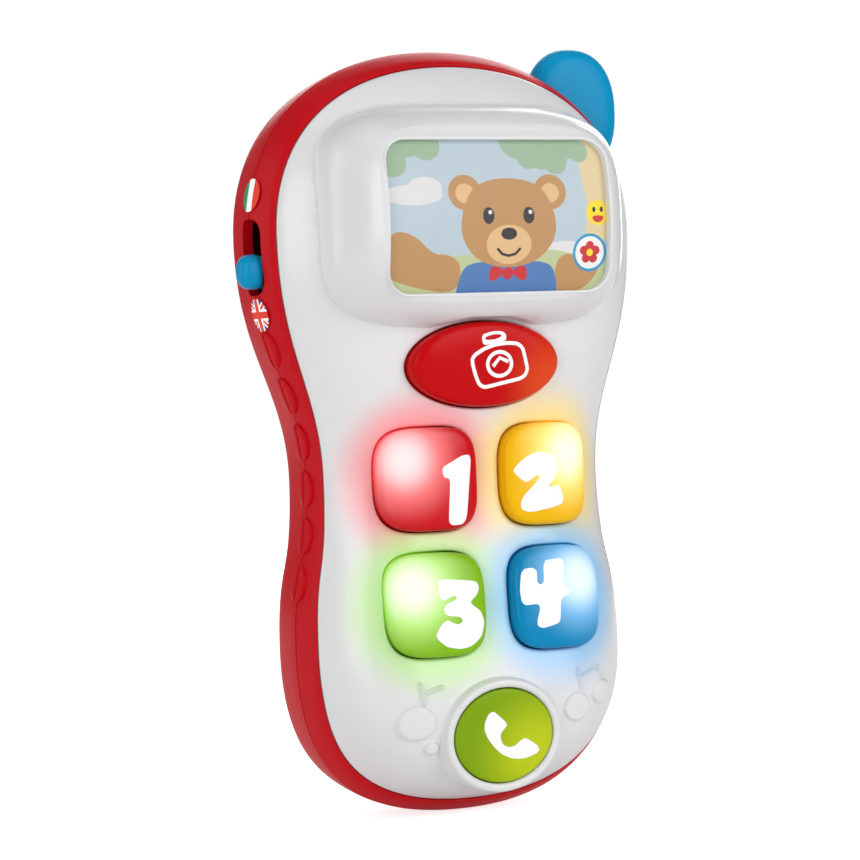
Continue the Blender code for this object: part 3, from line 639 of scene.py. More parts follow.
def face_plate_shell():
    rim = [(0.85, 0.0), (0.55, 0.05), (0.35, 0.17), (0.23, 0.36), (0.18, 0.6), (0.18, 1.1), (0.18, 3.2)]
    edge_rings = [(inset(resampled(FACE_LOOP, 0.8), d), drop) for d, drop in rim]
    soft = [(0.5, 0.0), (0.36, 0.05), (0.2, 0.14), (0.07, 0.3), (0.0, 0.52), (0.0, WALL)]
    boss = curve_through([(2.22, 0.0), (2.08, -0.5), (1.7, -0.92), (1.2, -1.0), (0.8, -0.92), (0.5, -0.7)], 14)
    shell = Shell()
    shell.rings([on_skin(loop, drop) for loop, drop in edge_rings])
    shell.rings(surround_rings())
    for hole in HOLES.values():
        shell.rings([on_skin(hole(GAP + d), drop) for d, drop in soft])
    feet = [call_loop(grow) for grow in (2.75, 2.5)]
    foot = [on_skin(feet[0], 0.0), on_skin(feet[1], -0.12)]
    hole = [on_boss(call_loop(GAP), -0.45), on_boss(call_loop(GAP), WALL)]
    shell.rings(foot + [on_boss(call_loop(grow), offset) for grow, offset in boss] + hole)
    borders = [edge_rings[0][0], surround_rings()[0][:, [0, 2]]]
    borders += [hole(GAP + soft[0][0]) for hole in HOLES.values()] + [feet[0]]
    fine = np.vstack([lattice(low, high, 0.32) for low, high in NOTE_BOXES])
    fixed = np.vstack(borders)
    fine = keep_clear(fine, fixed, 0.3)
    coarse = lattice(edge_rings[0][0].min(0), edge_rings[0][0].max(0), 1.1)
    extra = np.vstack([fine, keep_clear(coarse, np.vstack([fixed, fine]), 0.6)])
    points, faces = triangulated(borders, extra)
    centres = np.array([points[list(f)].mean(0) for f in faces])
    wanted = inside(centres, borders[0])
    for loop in borders[1:]:
        wanted &= ~inside(centres, loop)
    depth = skin(points[:, 0], points[:, 1]) - note_relief(points)
    start = len(shell.verts)
    shell.verts += [(x, y, z) for (x, z), y in zip(points, depth)]
    shell.faces += [tuple(start + i for i in f) for f, w in zip(faces, wanted) if w]
    return shell


def loose_vertices_gone(ob):
    """Drop the points that no face uses."""
    bm = bmesh.new()
    bm.from_mesh(ob.data)
    bmesh.ops.delete(bm, geom=[v for v in bm.verts if not v.link_faces], context="VERTS")
    bm.to_mesh(ob.data)
    bm.free()


GLOWS = {"key_1": ((1.0, 0.10, 0.13), (-20.4, -20, 79.0)), "key_2": ((1.0, 0.72, 0.03), (20.4, -20, 79.0)),
         "key_3": ((0.42, 0.85, 0.12), (-20.4, -22, 51.6)), "key_4": ((0.10, 0.52, 0.95), (20.4, -22, 51.6))}

white = plastic("white_face", (0.79, 0.79, 0.80), 0.22, 0.01, 0.01)
tree, shader = nodes_of(white)
# Painted glow: round each key the face's base colour is tinted towards that key's colour, standing in for its
# lamp's light coming through the white plastic.
for name, (color, spot) in GLOWS.items():
    x, z = KEYS[name]
    glow = falloff(tree, (x * 1.04, spot[1] + 2, z), 11, 24)
    tint(tree, shader, [0.25 + 0.75 * c for c in color], scaled(tree, glow, 0.9))

plate = piece("face_plate_fine", face_plate_shell(), white, "housing", ["face_plate"], 50)
loose_vertices_gone(plate)

# ---------------------------------------------------------------- housing
red = plastic("red_shell", (0.585, 0.003, 0.009), 0.38, 0.03, 0.03, specular=0.09)

SEAM_GROOVE, SEAM_FACE = 0.9, 0.09        # how far in the two cases meet, and the depth at which they do
# From the seam to the face: (share of the way in from the seam's outline, share of the rim's depth).
FRONT_FLANK = [(0.0, 0.028), (0.03, 0.07), (0.08, 0.15), (0.34, 0.45), (0.66, 0.735), (0.88, 0.86),
               (0.965, 0.905), (1.0, 0.89)]
# From the seam to the flat back: (mm in from the seam's outline, depth).
REAR_FLANK = [(SEAM_GROOVE, 0.10), (0.1, 0.11), (0.0, 0.2), (0.0, 1.5), (0.05, 3.0), (0.25, 5.5), (1.1, 12.0),
              (3.6, 16.6), (7.0, 19.1), (11.0, REAR_Y)]
GRIP_HALF, GRIP_SPLIT = (3.2, 4.0), 0.25  # half size, and half the seam between a grip's two halves


def flank(y, z):
    """Outer skin of the closed housing on the -X side."""
    seam = np.interp(z, SEAM_LOOP[:4 * STEPS + 1, 1], SEAM_LOOP[:4 * STEPS + 1, 0])
    face = np.interp(z, FACE_LOOP[:4 * STEPS + 1, 1], FACE_LOOP[:4 * STEPS + 1, 0])
    depth = np.clip(y / rim_y(z), 0, 1)
    f = np.interp(depth, (0, 0.15, 0.48, 0.80, 1), (0, 0.08, 0.34, 0.66, 1))
    return -np.where(y >= 0, seam - 0.25 * np.minimum(y / 5.5, 1), seam * (1 - f) + face * f)


def ribs(name, body, material, x_range, heights, base_y, rise, half):
    """Low rounded bars side by side under a thumb."""
    shell = Shell()
    mid, reach = sum(x_range) / 2, (x_range[1] - x_range[0]) / 2
    for z in heights:
        rings = []
        for cut, y in ((0.0, -0.5), (0.0, 0.4 * rise), (0.15, 0.8 * rise), (0.3, rise)):
            loop = rounded_rect((mid, z), reach - cut, half - cut, (half - cut) * 0.95, 5)
            rings.append(at_depth(loop, base_y + y))
        shell.rings(rings, cap_start=True, cap_end=True)
    return piece(name, shell, material, body, angle=50)


def grip_halves(name, half):
    """Raised oval finger grips, the half that one case carries: half is -1 in front, 1 behind."""
    turn = np.linspace(-math.pi / 2, math.pi / 2, 25)
    arc = np.stack([GRIP_SPLIT + (GRIP_HALF[0] - GRIP_SPLIT) * np.cos(turn), GRIP_HALF[1] * np.sin(turn)], 1)
    straight = np.stack([np.full(9, GRIP_SPLIT), np.linspace(GRIP_HALF[1], -GRIP_HALF[1], 11)[1:-1]], 1)
    loop = np.vstack([arc, straight])
    centre = loop.mean(0)
    shell = Shell()
    for side in (-1, 1):
        for grip_z in GRIP_Z:
            rings = []
            for scale, out in ((1.0, -0.9), (1.0, 0.25), (0.96, 0.48), (0.86, 0.64), (0.6, 0.74)):
                y, z = (centre + (loop - centre) * scale).T
                x = side * (np.abs(flank(half * y, grip_z + z)) + out)
                rings.append(np.stack([x, half * y, grip_z + z], 1))
            shell.rings(rings, cap_start=True, cap_end=True)
    return piece(name, shell, red, "housing", angle=50)


def front_case_rings():
    profile = curve_through(FRONT_FLANK, 44)
    groove = inset(SEAM_LOOP, SEAM_GROOVE)
    rings = [at_depth(groove, SEAM_FACE), at_depth(groove, -0.15), at_depth(inset(SEAM_LOOP, 0.1), -0.16)]
    for f, depth in profile:
        loop = SEAM_LOOP * (1 - f) + FACE_LOOP * f
        rings.append(at_depth(loop, rim_y(loop[:, 1]) * depth))
    ledge = rim_y(FACE_LOOP[:, 1]) * LEDGE
    rings += [at_depth(FACE_LOOP, ledge)] + [at_depth(inset(FACE_LOOP, 2.4), ledge + y) for y in (0.0, 1.5)]
    return rings + [at_depth(inset(SEAM_LOOP, WALL), SEAM_FACE)]


def rear_case_rings():
    profile = curve_through(REAR_FLANK, 56)
    return [at_depth(inset(SEAM_LOOP, d), y) for d, y in profile]


ANTENNA_AT, ANTENNA_HALF, ANTENNA_Y = (37.0, 156.4), (11.0, 14.4), (1.6, 10.6)   # centre, half size, depths


def antenna_rings(sections, grow=0.0):
    """Flat rounded fin, its sections given as (scale, depth from -1 to 1)."""
    mid, half = sum(ANTENNA_Y) / 2, (ANTENNA_Y[1] - ANTENNA_Y[0]) / 2 + grow
    hx, hz = ANTENNA_HALF
    return [at_depth(squircle(ANTENNA_AT, hx * scale + grow, hz * scale + grow, 2.3, 96), mid + half * y)
            for scale, y in sections]


FIN = [(0.55, -1), (0.82, -0.86), (0.96, -0.5), (1, 0), (0.96, 0.5), (0.82, 0.86), (0.55, 1)]


def slot_block(x0, x1, half_y=4.0, mid_y=-0.2):
    mid = (SLOT_Z[0] + SLOT_Z[1]) / 2
    loop = rounded_rect((mid_y, mid), half_y, (SLOT_Z[1] - SLOT_Z[0]) / 2, half_y * 0.9, 8)
    return closed_solid("slot", [across_x(loop, x) for x in (x0, x1)])


shell = Shell().rings(front_case_rings(), loop=True)
front = piece("front_case_fine", shell, red, "housing", ["front_case"], 40)
cut_out(front, [slot_block(-60, SLOT_FLOOR)])

rear = piece("rear_case_fine", capped(rear_case_rings()), red, "housing", ["rear_case"], 40)
CASE_SCREWS = [place("case_screw_%d" % i) for i in range(1, 7)]
DOOR_SCREW = place("battery_door_screw")
low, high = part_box("battery_door")
DOOR_HALF = (high[0] - low[0]) / 2 / MM
DOOR_Z = (low[2] / MM + ORIGIN.z, high[2] / MM + ORIGIN.z)
POWER_Z = place("power_switch")[1]
SPEAKER = place("speaker_magnet")

# The air inside: the case less its walls, the battery well, the door's frame, the power switch's block
# and the screw posts.
coarse_seam = outline(SEAM, 16)
hollow = closed_solid("hollow", [at_depth(inset(coarse_seam, d), y) for d, y in
                                 ((WALL, -1.0), (WALL + 0.25, 5.5), (WALL + 1.1, 11.6), (WALL + 3.2, 15.4),
                                  (11.4, REAR_Y - 2.1))])
cut_out(hollow, [block("well", (-14, 14), (4.6, 30), (18.4, 75.8)),
                 block("door_frame", (-18.2, 18.2), (15.8, 30), (12.6, 88.4)),
                 block("power_block", (-11, 11), (15.8, 30), (93, 105))]
        + [closed_solid("post", turned(at, [(4.1, -5), (4.1, 30)], 24)) for at in CASE_SCREWS]
        + [closed_solid("post", turned(DOOR_SCREW, [(3.9, 9.0), (3.9, 30)], 24))])
grille = [(0, 0)]                         # the loudspeaker's holes: one, a ring of six, a ring of eight
for r, start, count in ((6.0, 0, 6), (11.5, 15, 8)):
    turns = [math.radians(start + 360 / count * i) for i in range(count)]
    grille += [(r * math.cos(a), r * math.sin(a)) for a in turns]
cut_out(rear, [hollow,
               block("battery_well", (-12.3, 12.3), (6.2, 30), (20.2, 74.2), 2.0),
               block("door_recess", (-DOOR_HALF - GAP, DOOR_HALF + GAP), (REAR_Y - 2.0, 30),
                     (DOOR_Z[0] - GAP, DOOR_Z[1] + GAP), 2.2)]
        + [closed_solid("bore", turned(at, [(1.55, -3), (1.55, 9.0), (3.1, 9.0), (3.1, 30)], 32))
           for at in CASE_SCREWS]
        + [closed_solid("bore", turned(DOOR_SCREW, [(1.1, 10.5), (1.1, 30)], 24)),
           block("power_pocket", (-8.5, 8.5), (REAR_Y - 1.5, 30), (POWER_Z - 3.4, POWER_Z + 3.4), 1.2),
           block("power_slot", (-5.2, 5.2), (10, 30), (POWER_Z - 1.6, POWER_Z + 1.6), 0.6),
           slot_block(-60, SLOT_FLOOR), slot_block(-60, -38.0, 2.3, 1.6),
           closed_solid("fin_hole", antenna_rings(FIN, 0.35))]
        + [closed_solid("grille", turned((SPEAKER[0] + x, SPEAKER[1] + z), [(1.6, 12), (1.6, 30)], 20))
           for x, z in grille])

grip_halves("grips_front", -1)
grip_halves("grips_rear", 1)

# ---------------------------------------------------------------- buttons
# A cap's section: (mm in from its edge, share of its rise).
CAP = curve_through([(0.0, 0.18), (0.0, 0.50), (-0.22, 0.66), (-0.7, 0.80), (-1.6, 0.90), (-3.2, 0.97),
                     (-6.0, 1.03), (-8.6, 1.06)], 26)


def button_shell(loop_of, rise, shoulder=1.0):
    """A cap on its flange; shoulder scales how far its rounded edge reaches in."""
    under = WALL + GAP
    rings = [on_skin(loop_of(1.1), under + 1.3), on_skin(loop_of(1.1), under), on_skin(loop_of(0.0), under)]
    rings += [on_skin(loop_of(grow * shoulder), -rise * height) for grow, height in CAP]
    return capped(rings)


def glowing(name, color, spot, reach, core, strength):
    """Translucent plastic lit from behind by a lamp at spot, the light painted: base colour paler and emission
    stronger near the spot, white at its core.
    """
    material = plastic(name, color, 0.24, 0.01, 0.02, specular=0.16)
    tree, shader = nodes_of(material)
    near = falloff(tree, spot, core, reach)
    white_hot = falloff(tree, spot, core * 0.2, core * 2.2)
    tint(tree, shader, [0.3 + 0.7 * c for c in color], scaled(tree, near, 0.8))
    tree.links.new(mixed(tree, color, (1, 1, 1), white_hot), shader.inputs["Emission Color"])
    tree.links.new(scaled(tree, near, strength), shader.inputs["Emission Strength"])
    return material


KEY_COLORS = {"key_1": (0.62, 0.004, 0.010), "key_2": (0.92, 0.50, 0.0), "key_3": (0.24, 0.52, 0.01),
              "key_4": (0.0, 0.25, 0.52)}
SLOTS = {"key_1": "key_red", "key_2": "key_yellow", "key_3": "key_green", "key_4": "key_blue"}
caps = {}
for name, loop_of in KEY_LOOPS.items():
    color, spot = GLOWS[name]
    material = glowing(SLOTS[name], KEY_COLORS[name], (spot[0], spot[1] - 1.5, spot[2]), 16.2, 4.6, 0.66)
    caps[name] = piece(name + "_cap", button_shell(loop_of, 3.4), material, name, [name])

red_button = plastic("red_button", (0.57, 0.002, 0.004), 0.24, 0.01, 0.02, specular=0.10)
tree, shader = nodes_of(red_button)
# Painted highlight: the red turns paler and more orange towards the button's right end.
tint(tree, shader, (0.85, 0.10, 0.02), scaled(tree, falloff(tree, (17, -23, 94), 1, 17), 0.7))
shell = button_shell(HOLES["camera_button"], 3.6, 0.9)
caps["camera_button"] = piece("camera_button_cap", shell, red_button, "camera_button",
                              ["camera_button"])
call_green = plastic("call_green", (0.22, 0.38, 0.002), 0.26, 0.01, 0.02, specular=0.16)
tree, shader = nodes_of(call_green)
# Painted highlight: the green turns brighter towards the button's lower right.
tint(tree, shader, (0.52, 0.62, 0.008), falloff(tree, (8, -24, 14), 1, 19))
under = WALL - 0.9 + GAP
rings = [on_boss(call_loop(0.55), under + 1.3), on_boss(call_loop(0.55), under), on_boss(call_loop(0), under)]
rings += [on_boss(call_loop(grow * 0.6), -1.0 * height) for grow, height in CAP]
caps["call_button"] = piece("call_button_cap", capped(rings), call_green, "call_button",
                            ["call_button"])

# ---------------------------------------------------------------- printed figures
# Corners of each figure, in mm from its button's centre; print_on's callers round them off.
ONE = [(10.1, 5.1), (8.4, 5.0), (6.2, 3.9), (3.9, 2.8), (3.5, 1.9), (3.9, 0.4), (5.4, 0.1), (4.5, -9.1),
       (5.4, -10.0), (7.9, -9.9), (8.9, -8.8), (10.6, 4.1)]
TWO = np.array([(-7.9, 1.4), (-5, 4), (-2.5, 5.2), (-.25, 5.6), (2.5, 4.8), (4.2, 2.8), (4.3, 1.4),
                (3.3, -.8), (1.1, -2.9), (4.8, -2.4), (5.9, -7), (-3.5, -8.5), (-5.8, -7.8), (-6.1, -6.4),
                (-5.3, -4.6), (-.9, -.8), (-.9, 0), (-1.5, .2), (-4.5, -1.7)]) * 0.94
THREE = [(1.35, 5.7), (9.8, 4.8), (10.5, 3.5), (10.0, 2), (7.8, .2), (10.6, -1.8), (11.4, -4.2), (10.4, -7.2),
         (7.9, -9.1), (5.2, -9.6), (2.0, -9), (0, -7.4), (-.6, -6.3), (.7, -4.2), (2.25, -3.1), (3.4, -3.75),
         (4.7, -4.3), (5.9, -3.75), (5.6, -2.8), (4.5, -2.5), (2.9, -2.4), (1.8, -1.8), (1.6, -.8), (2.25, .2),
         (4.7, 1.15), (4.8, 1.8), (3.8, 1.9), (1.8, 1), (.8, 1.8), (.7, 5)]
FOUR = np.array([(-.9, 8.4), (2.5, 8.6), (3.35, 7.85), (2.4, 3.1), (4.2, 1.5), (3.9, .3), (1.6, -.4),
                 (1.1, -5.3), (.25, -6), (-3.65, -6.8), (-5, -6.2), (-5.1, -5.1), (-4, -2.1), (-4.7, -1.2),
                 (-7.7, -1.45), (-8.6, -.7), (-8.9, 1.9), (-8.3, 5.7), (-7.4, 6.7), (-5.2, 6.9), (-4.2, 6.1),
                 (-4.4, 3.7), (-3.65, 2.9), (-2.6, 3.5), (-2.4, 7.05), (-1.6, 8.3)]) * (0.92, 0.97)
HANDSET = [(-3, 5.3), (-2.3, 5.2), (.6, 2.6), (.6, 1.9), (0, 1.3), (-.8, .4), (-.9, -.7), (-.2, -2.2),
           (1.2, -2.8), (2.6, -2.6), (4, -1.5), (5, -1.1), (5.7, -1.3), (8.3, -3.1), (8.6, -4.1), (7.8, -4.8),
           (5, -5.6), (2.1, -5.4), (-.4, -4.3), (-2.3, -2.6), (-4, -.4), (-4.8, 1.5), (-4.7, 3), (-3.9, 4.7)]
CAMERA_BODY = [(-2.9, .6), (-2.1, 1.6), (.3, 2.9), (2.9, 3.7), (5.9, 4), (8.6, 3.8), (9.9, 2.7), (10.5, .3),
               (11.1, -2.1), (10.5, -3.5), (9.2, -4.2), (4.7, -5), (.3, -5.9), (-1.1, -5.1), (-2.1, -2.9),
               (-2.7, -.8)]
CAMERA_FLASH = [(0, 3.5), (-.4, 5.2), (0, 6.1), (2.4, 6.7), (4.7, 6.7), (5.7, 6), (5.8, 4.5)]
ink_white = plastic("white_print", (0.90, 0.90, 0.90), 0.35, 0.0, 0.01)
# The white print glows faintly: painted light.
set_inputs(nodes_of(ink_white)[1], {"Emission Color": (1, 1, 1, 1), "Emission Strength": 0.10})


def cap_depth(ob, proud=0.07):
    tree = BVHTree.FromPolygons([v.co for v in ob.data.vertices], [p.vertices for p in ob.data.polygons])

    def depth(x, z):
        start = to_world((x, -60, z))
        hit = tree.ray_cast(start, Vector((0, 1, 0)))[0]
        return hit.y / MM + ORIGIN.y - proud
    return depth


def shifted(loop, at):
    return np.array(loop, float) + np.array(at)


FIGURES = {"key_1": (ONE, (-1.5, -0.1)), "key_2": (TWO, (-2.1, -0.3)), "key_3": (THREE, (-1.4, 0)),
           "key_4": (FOUR, (-1.7, 0.1)), "call_button": (HANDSET, (-0.3, 0.2))}
for name, (figure, offset) in FIGURES.items():
    at = CALL_AT if name == "call_button" else KEYS[name]
    loop = shifted(shifted(rounded_corners(figure), at), offset)
    limit = call_loop(-0.5) if name == "call_button" else KEY_LOOPS[name](-0.6)
    print_on(name + "_figure", [([loop], 0)], cap_depth(caps[name]), name, [ink_white], limit=limit)

PEN = 0.85
body = rounded_corners(CAMERA_BODY)
lens = ellipse((4.0, -0.7), 3.0, 2.7, 40)
lean = math.radians(8)
turn = np.array(((math.cos(lean), math.sin(lean)), (-math.sin(lean), math.cos(lean))))
hole = ellipse((0, 0), 2.1, 0.55, 24) @ turn + (2.5, 5.4)
chevron = stroke([(2.35, -1.2), (4.0, 0.7), (6.2, -0.25)], PEN)
shapes = [([inset(line, -PEN / 2), inset(line, PEN / 2)], 0) for line in (body, lens)]
shapes += [([rounded_corners(CAMERA_FLASH), hole], 0), ([chevron], 0)]
FIGURE_AT = (CAMERA_AT[0] - 1.5, CAMERA_AT[1] + 0.6)
print_on("camera_figure", [([shifted(l * 0.96, FIGURE_AT) for l in group], i) for group, i in shapes],
         cap_depth(caps["camera_button"]), "camera_button", [ink_white], 0.8)

# ---------------------------------------------------------------- screen picture and window
def print_ink(name, color, glow=0.06):
    # Ink that also glows in its own colour, as strongly as glow says: painted light.
    material = plastic(name, color, 0.6, 0.0, 0.03)
    set_inputs(nodes_of(material)[1], {"Emission Color": (*color, 1), "Emission Strength": glow})
    return material


INKS = [("sky", (0.47, 0.57, 0.63)), ("leaf", (0.32, 0.46, 0.31)), ("trunk", (0.72, 0.58, 0.32)),
        ("cloud", (0.72, 0.71, 0.72)), ("hill", (0.50, 0.56, 0.30)), ("fur", (0.50, 0.26, 0.09)),
        ("muzzle", (0.74, 0.47, 0.22)), ("dark", (0.012, 0.01, 0.012)), ("cloth", (0.06, 0.18, 0.45)),
        ("red", (0.58, 0.005, 0.012)), ("yellow", (0.93, 0.68, 0.005)), ("white", (0.85, 0.85, 0.85)),
        ("badge", (0.0, 0.28, 0.55))]
INK = {name: i for i, (name, _) in enumerate(INKS)}


def blob(points):
    return rounded_corners(points, (0.25, 0.25))


def picture_shapes():
    """A teddy in a park, drawn round the window's centre in mm."""
    def disc(x, z, rx, rz=None, n=32):
        return ellipse((x, z), rx, rz or rx, n)
    s = [([rounded_rect((0, 0), 27.9, 17.8, 2.4)], INK["sky"])]

    def add(loop, ink):
        s.append(([loop], INK[ink]))
    for x, z, rx, rz in ((-20, 4.5, 7, 2.2), (-17, 6, 4, 2.4), (16, -8, 6, 2.4)):
        add(disc(x, z, rx, rz), "cloud")
    add(blob([(-28, -9), (-22, -7.5), (-15, -9.5), (-8, -8), (4, -9), (12, -7), (20, -9), (28, -8), (28, -18),
              (-28, -18)]), "hill")
    add(blob([(28, 18), (19.5, 18), (20.5, 9), (21.5, 2), (20.5, -6), (28, -6)]), "trunk")
    for x, z, r in ((-26, 15, 5), (-21, 17, 4.6), (-16, 15.5, 3.6), (-24, 11.5, 3.2), (6, 16.5, 4.4),
                    (11.5, 14.6, 4.8), (16.8, 16.4, 4.4), (14.5, 11.8, 3.0), (8, 12.6, 2.6),
                    (20.5, 13.8, 2.4)):
        add(disc(x, z, r), "leaf")
    bear = np.array((2.4, -1.6))

    def bear_part(loop, ink):
        add(np.array(loop) + bear, ink)
    bear_part(blob([(-11, -9), (-14, -6.5), (-18, -6.5), (-22, -2.5), (-27, -1.2), (-30.0, -5), (-29.5, -11),
                    (-22, -13.5), (-12, -15)]), "fur")
    bear_part(blob([(11, -9), (13.5, -6.5), (17, -7.5), (21, -3.5), (23, -9), (19, -14.5), (12, -16)]), "fur")
    bear_part(blob([(-11.5, -10), (-8, -8.0), (8, -8.0), (11.5, -10), (12.5, -18), (-12.5, -18)]), "cloth")
    for side in (-1, 1):
        bear_part(disc(side * 10.2, 6.6, 3.9, 3.8), "fur")
        bear_part(disc(side * 10.2, 6.4, 2.2, 2.1), "muzzle")
    bear_part(blob([(-11.6, -3), (-11.0, 3), (-7.8, 8.4), (0, 10), (7.8, 8.4), (11.0, 3), (11.6, -3),
                    (7.4, -8.2), (0, -9.8), (-7.4, -8.2)]), "fur")
    bear_part(disc(0, -4.6, 5.4, 4.2), "muzzle")
    bear_part(disc(0, -2.3, 1.9, 1.3), "dark")
    bear_part(stroke([(-2.8, -5.4), (-1.6, -6.6), (0, -7.0), (1.6, -6.6), (2.8, -5.4)], 0.6), "dark")
    for side in (-1, 1):
        bear_part(disc(side * 4.8, 1.6, 1.35, 1.8), "dark")
        bear_part(disc(0.4 + side * 4.8, 2.3, 0.45, 0.45), "white")
        bear_part(blob([(0, -10.2), (side * 4.4, -8.6), (side * 4.6, -13.2)]), "red")
    bear_part(disc(0, -10.7, 1.3, 1.3), "red")
    add(disc(24.0, 0.4, 2.7), "yellow")
    add(disc(23.1, 1.1, 0.4, 0.6), "dark")
    add(disc(24.9, 1.1, 0.4, 0.6), "dark")
    add(blob([(22.4, -0.2), (25.6, -0.2), (24.9, -1.7), (23.1, -1.7)]), "red")
    add(disc(22.0, -8.2, 4.1), "badge")
    add(disc(22.0, -8.2, 3.5), "white")
    for k in range(5):
        a = math.radians(90 + 72 * k)
        add(disc(22.0 + 1.5 * math.cos(a), -8.2 + 1.5 * math.sin(a), 1.0), "red")
    add(disc(22.0, -8.2, 0.8), "yellow")
    return s


centre = np.array((0, SCREEN_Z))
sheet = rounded_rect((0, SCREEN_Z), 26.9, 17.1, 5.4)
shapes = [([loop + centre for loop in group], i) for group, i in picture_shapes()]
picture = print_on("screen_picture", shapes, lambda x, z: screen_front(z) + 1.9, "housing",
                   [print_ink("print_" + name, color) for name, color in INKS], 1.6, sheet)
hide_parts("picture_card")

clear = bpy.data.materials.new("clear_window")
clear.use_nodes = True
tree, shader = nodes_of(clear)
set_inputs(shader, {"Base Color": (1, 1, 1, 1), "Alpha": 0.03})
scuff = add_node(tree, "TexNoise", {"Scale": 400.0}, {}).outputs["Fac"]
haze = add_node(tree, "MapRange", {"To Min": 0.03, "To Max": 0.07}, {"Value": scuff})
tree.links.new(haze.outputs["Result"], shader.inputs["Roughness"])
rings = []
for grow, down in ((-4.0, 0.5), (-0.6, 0.55), (-0.3, 0.75), (-0.3, 1.5)):
    loop = window_loop(120, grow)
    rings.append(at_depth(loop, screen_front(loop[:, 1]) + down))
shell = Shell().rings(rings, cap_start=True)
piece("window_pane", shell, clear, "housing", ["screen_window"])

# ---------------------------------------------------------------- antenna
blue = plastic("blue_plastic", (0.0, 0.30, 0.58), 0.32, 0.01, 0.03, specular=0.14)
fin = curve_through([(0.30, -1.0), (0.62, -0.985), (0.84, -0.87), (0.96, -0.55), (1.0, 0.0), (0.96, 0.55),
                     (0.84, 0.87), (0.62, 0.985), (0.30, 1.0)], 32)
piece("antenna_fine", capped(antenna_rings(fin)), blue, "housing", ["antenna"], 60)

# ---------------------------------------------------------------- power slider's ribs and battery door
low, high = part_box("power_slider")
x_range = (low[0] / MM + 1.0, high[0] / MM - 1.0)
ribs("power_slider_ribs", "power_slider", blue, x_range,
     [POWER_Z + dz for dz in (-1.5, 0.0, 1.5)], high[1] / MM + REAR_Y, 0.22, 0.3)

DOOR_THICK, DOOR_GROOVES = 1.7, (24.5, 27.5, 30.5)
door_mid, door_half = sum(DOOR_Z) / 2, (DOOR_Z[1] - DOOR_Z[0]) / 2
door = closed_solid("battery_door_fine", [
    at_depth(rounded_rect((0, door_mid), DOOR_HALF - cut, door_half - cut, 2.0 - cut), REAR_Y - under)
    for cut, under in ((0.0, DOOR_THICK), (0.0, 0.3), (0.09, 0.09), (0.3, 0.0))])
screw_hole = turned(DOOR_SCREW, [(1.4, 10), (1.4, REAR_Y - 1.0), (2.8, REAR_Y - 1.0), (2.8, 30)])
cut_out(door, [closed_solid("bore", screw_hole)]
        + [block("groove", (-8, 8), (REAR_Y - 0.6, 30), (z - 0.6, z + 0.6), 0.55) for z in DOOR_GROOVES])
dress(door, red, "battery_door", ["battery_door"])

# ---------------------------------------------------------------- language slider and stickers
SLIDER_Z = middle("language_slider").z
KX = -45.7                                # x where the knob comes out of the flank
rings = []
for r, x in curve_through([(0.06, KX - 3.1), (0.45, KX - 2.9), (0.78, KX - 2.2), (0.97, KX - 1.0),
                           (1.0, KX + 0.6), (0.96, KX + 1.6)], 20):
    rings.append(across_x(squircle((-0.2, SLIDER_Z), 3.0 * r, 3.8 * r, 2.6, 64), x))
shell = capped(rings)
for x, y, z in (((KX + 1.0, -41.1), (0.6, 3.0), 1.6), ((-41.7, -40.9), (0.5, 6.2), 3.7)):
    loop = rounded_rect(((x[0] + x[1]) / 2, SLIDER_Z), (x[1] - x[0]) / 2, z, 0.2, 2)
    shell.rings([at_depth(loop, y[0]), at_depth(loop, y[1])], cap_start=True, cap_end=True)
piece("slider_knob", shell, blue, "language_slider", ["language_slider"])


def sticker(name, label, shapes, inks):
    """Round printed label on the flank; shapes are drawn in (towards the face, up) mm."""
    z0 = middle(label).z
    disc = ellipse((0, 0), 3.6, 3.6, 64)
    ob = print_on(name, [([disc], 0)] + shapes, lambda x, z: 0.0, "housing", inks, 0.6, disc)
    for vertex in ob.data.vertices:
        u, v = (vertex.co.x / MM + ORIGIN.x), (vertex.co.z / MM + ORIGIN.z)
        y = -0.2 - u
        vertex.co = to_world((float(flank(y, z0 + v)) - 0.4, y, z0 + v))
    return ob


def band(x0, x1, z0=-5, z1=5):
    return np.array([(x0, z0), (x1, z0), (x1, z1), (x0, z1)], float)


def bar(angle, half, reach=5.0):
    a = math.radians(angle)
    way, side = np.array((math.cos(a), math.sin(a))), np.array((-math.sin(a), math.cos(a)))
    corners = ((-reach, -half), (reach, -half), (reach, half), (-reach, half))
    return np.array([way * s + side * t for s, t in corners])


# The flag inks glow more strongly: painted light that lifts the stickers out of the flank's shade.
flag_white = print_ink("flag_white", (0.88, 0.88, 0.87), 0.25)
flag_green = print_ink("flag_green", (0.0, 0.28, 0.10), 0.20)
flag_red = print_ink("flag_red", (0.74, 0.03, 0.008), 0.20)
flag_blue = print_ink("flag_blue", (0.008, 0.06, 0.34), 0.18)
upper = sticker("sticker_upper", "label_upper", [([band(-5, -1.25)], 1), ([band(1.25, 5)], 2)],
                [flag_white, flag_green, flag_red])
lower = sticker("sticker_lower", "label_lower",
                [([bar(a, 0.75)], 2) for a in (40, -40)] + [([bar(a, 0.3)], 1) for a in (40, -40)]
                + [([bar(a, 1.25)], 2) for a in (0, 90)] + [([bar(a, 0.72)], 1) for a in (0, 90)],
                [flag_blue, flag_red, flag_white])
for ob, label in ((upper, "label_upper"), (lower, "label_lower")):
    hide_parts(label)

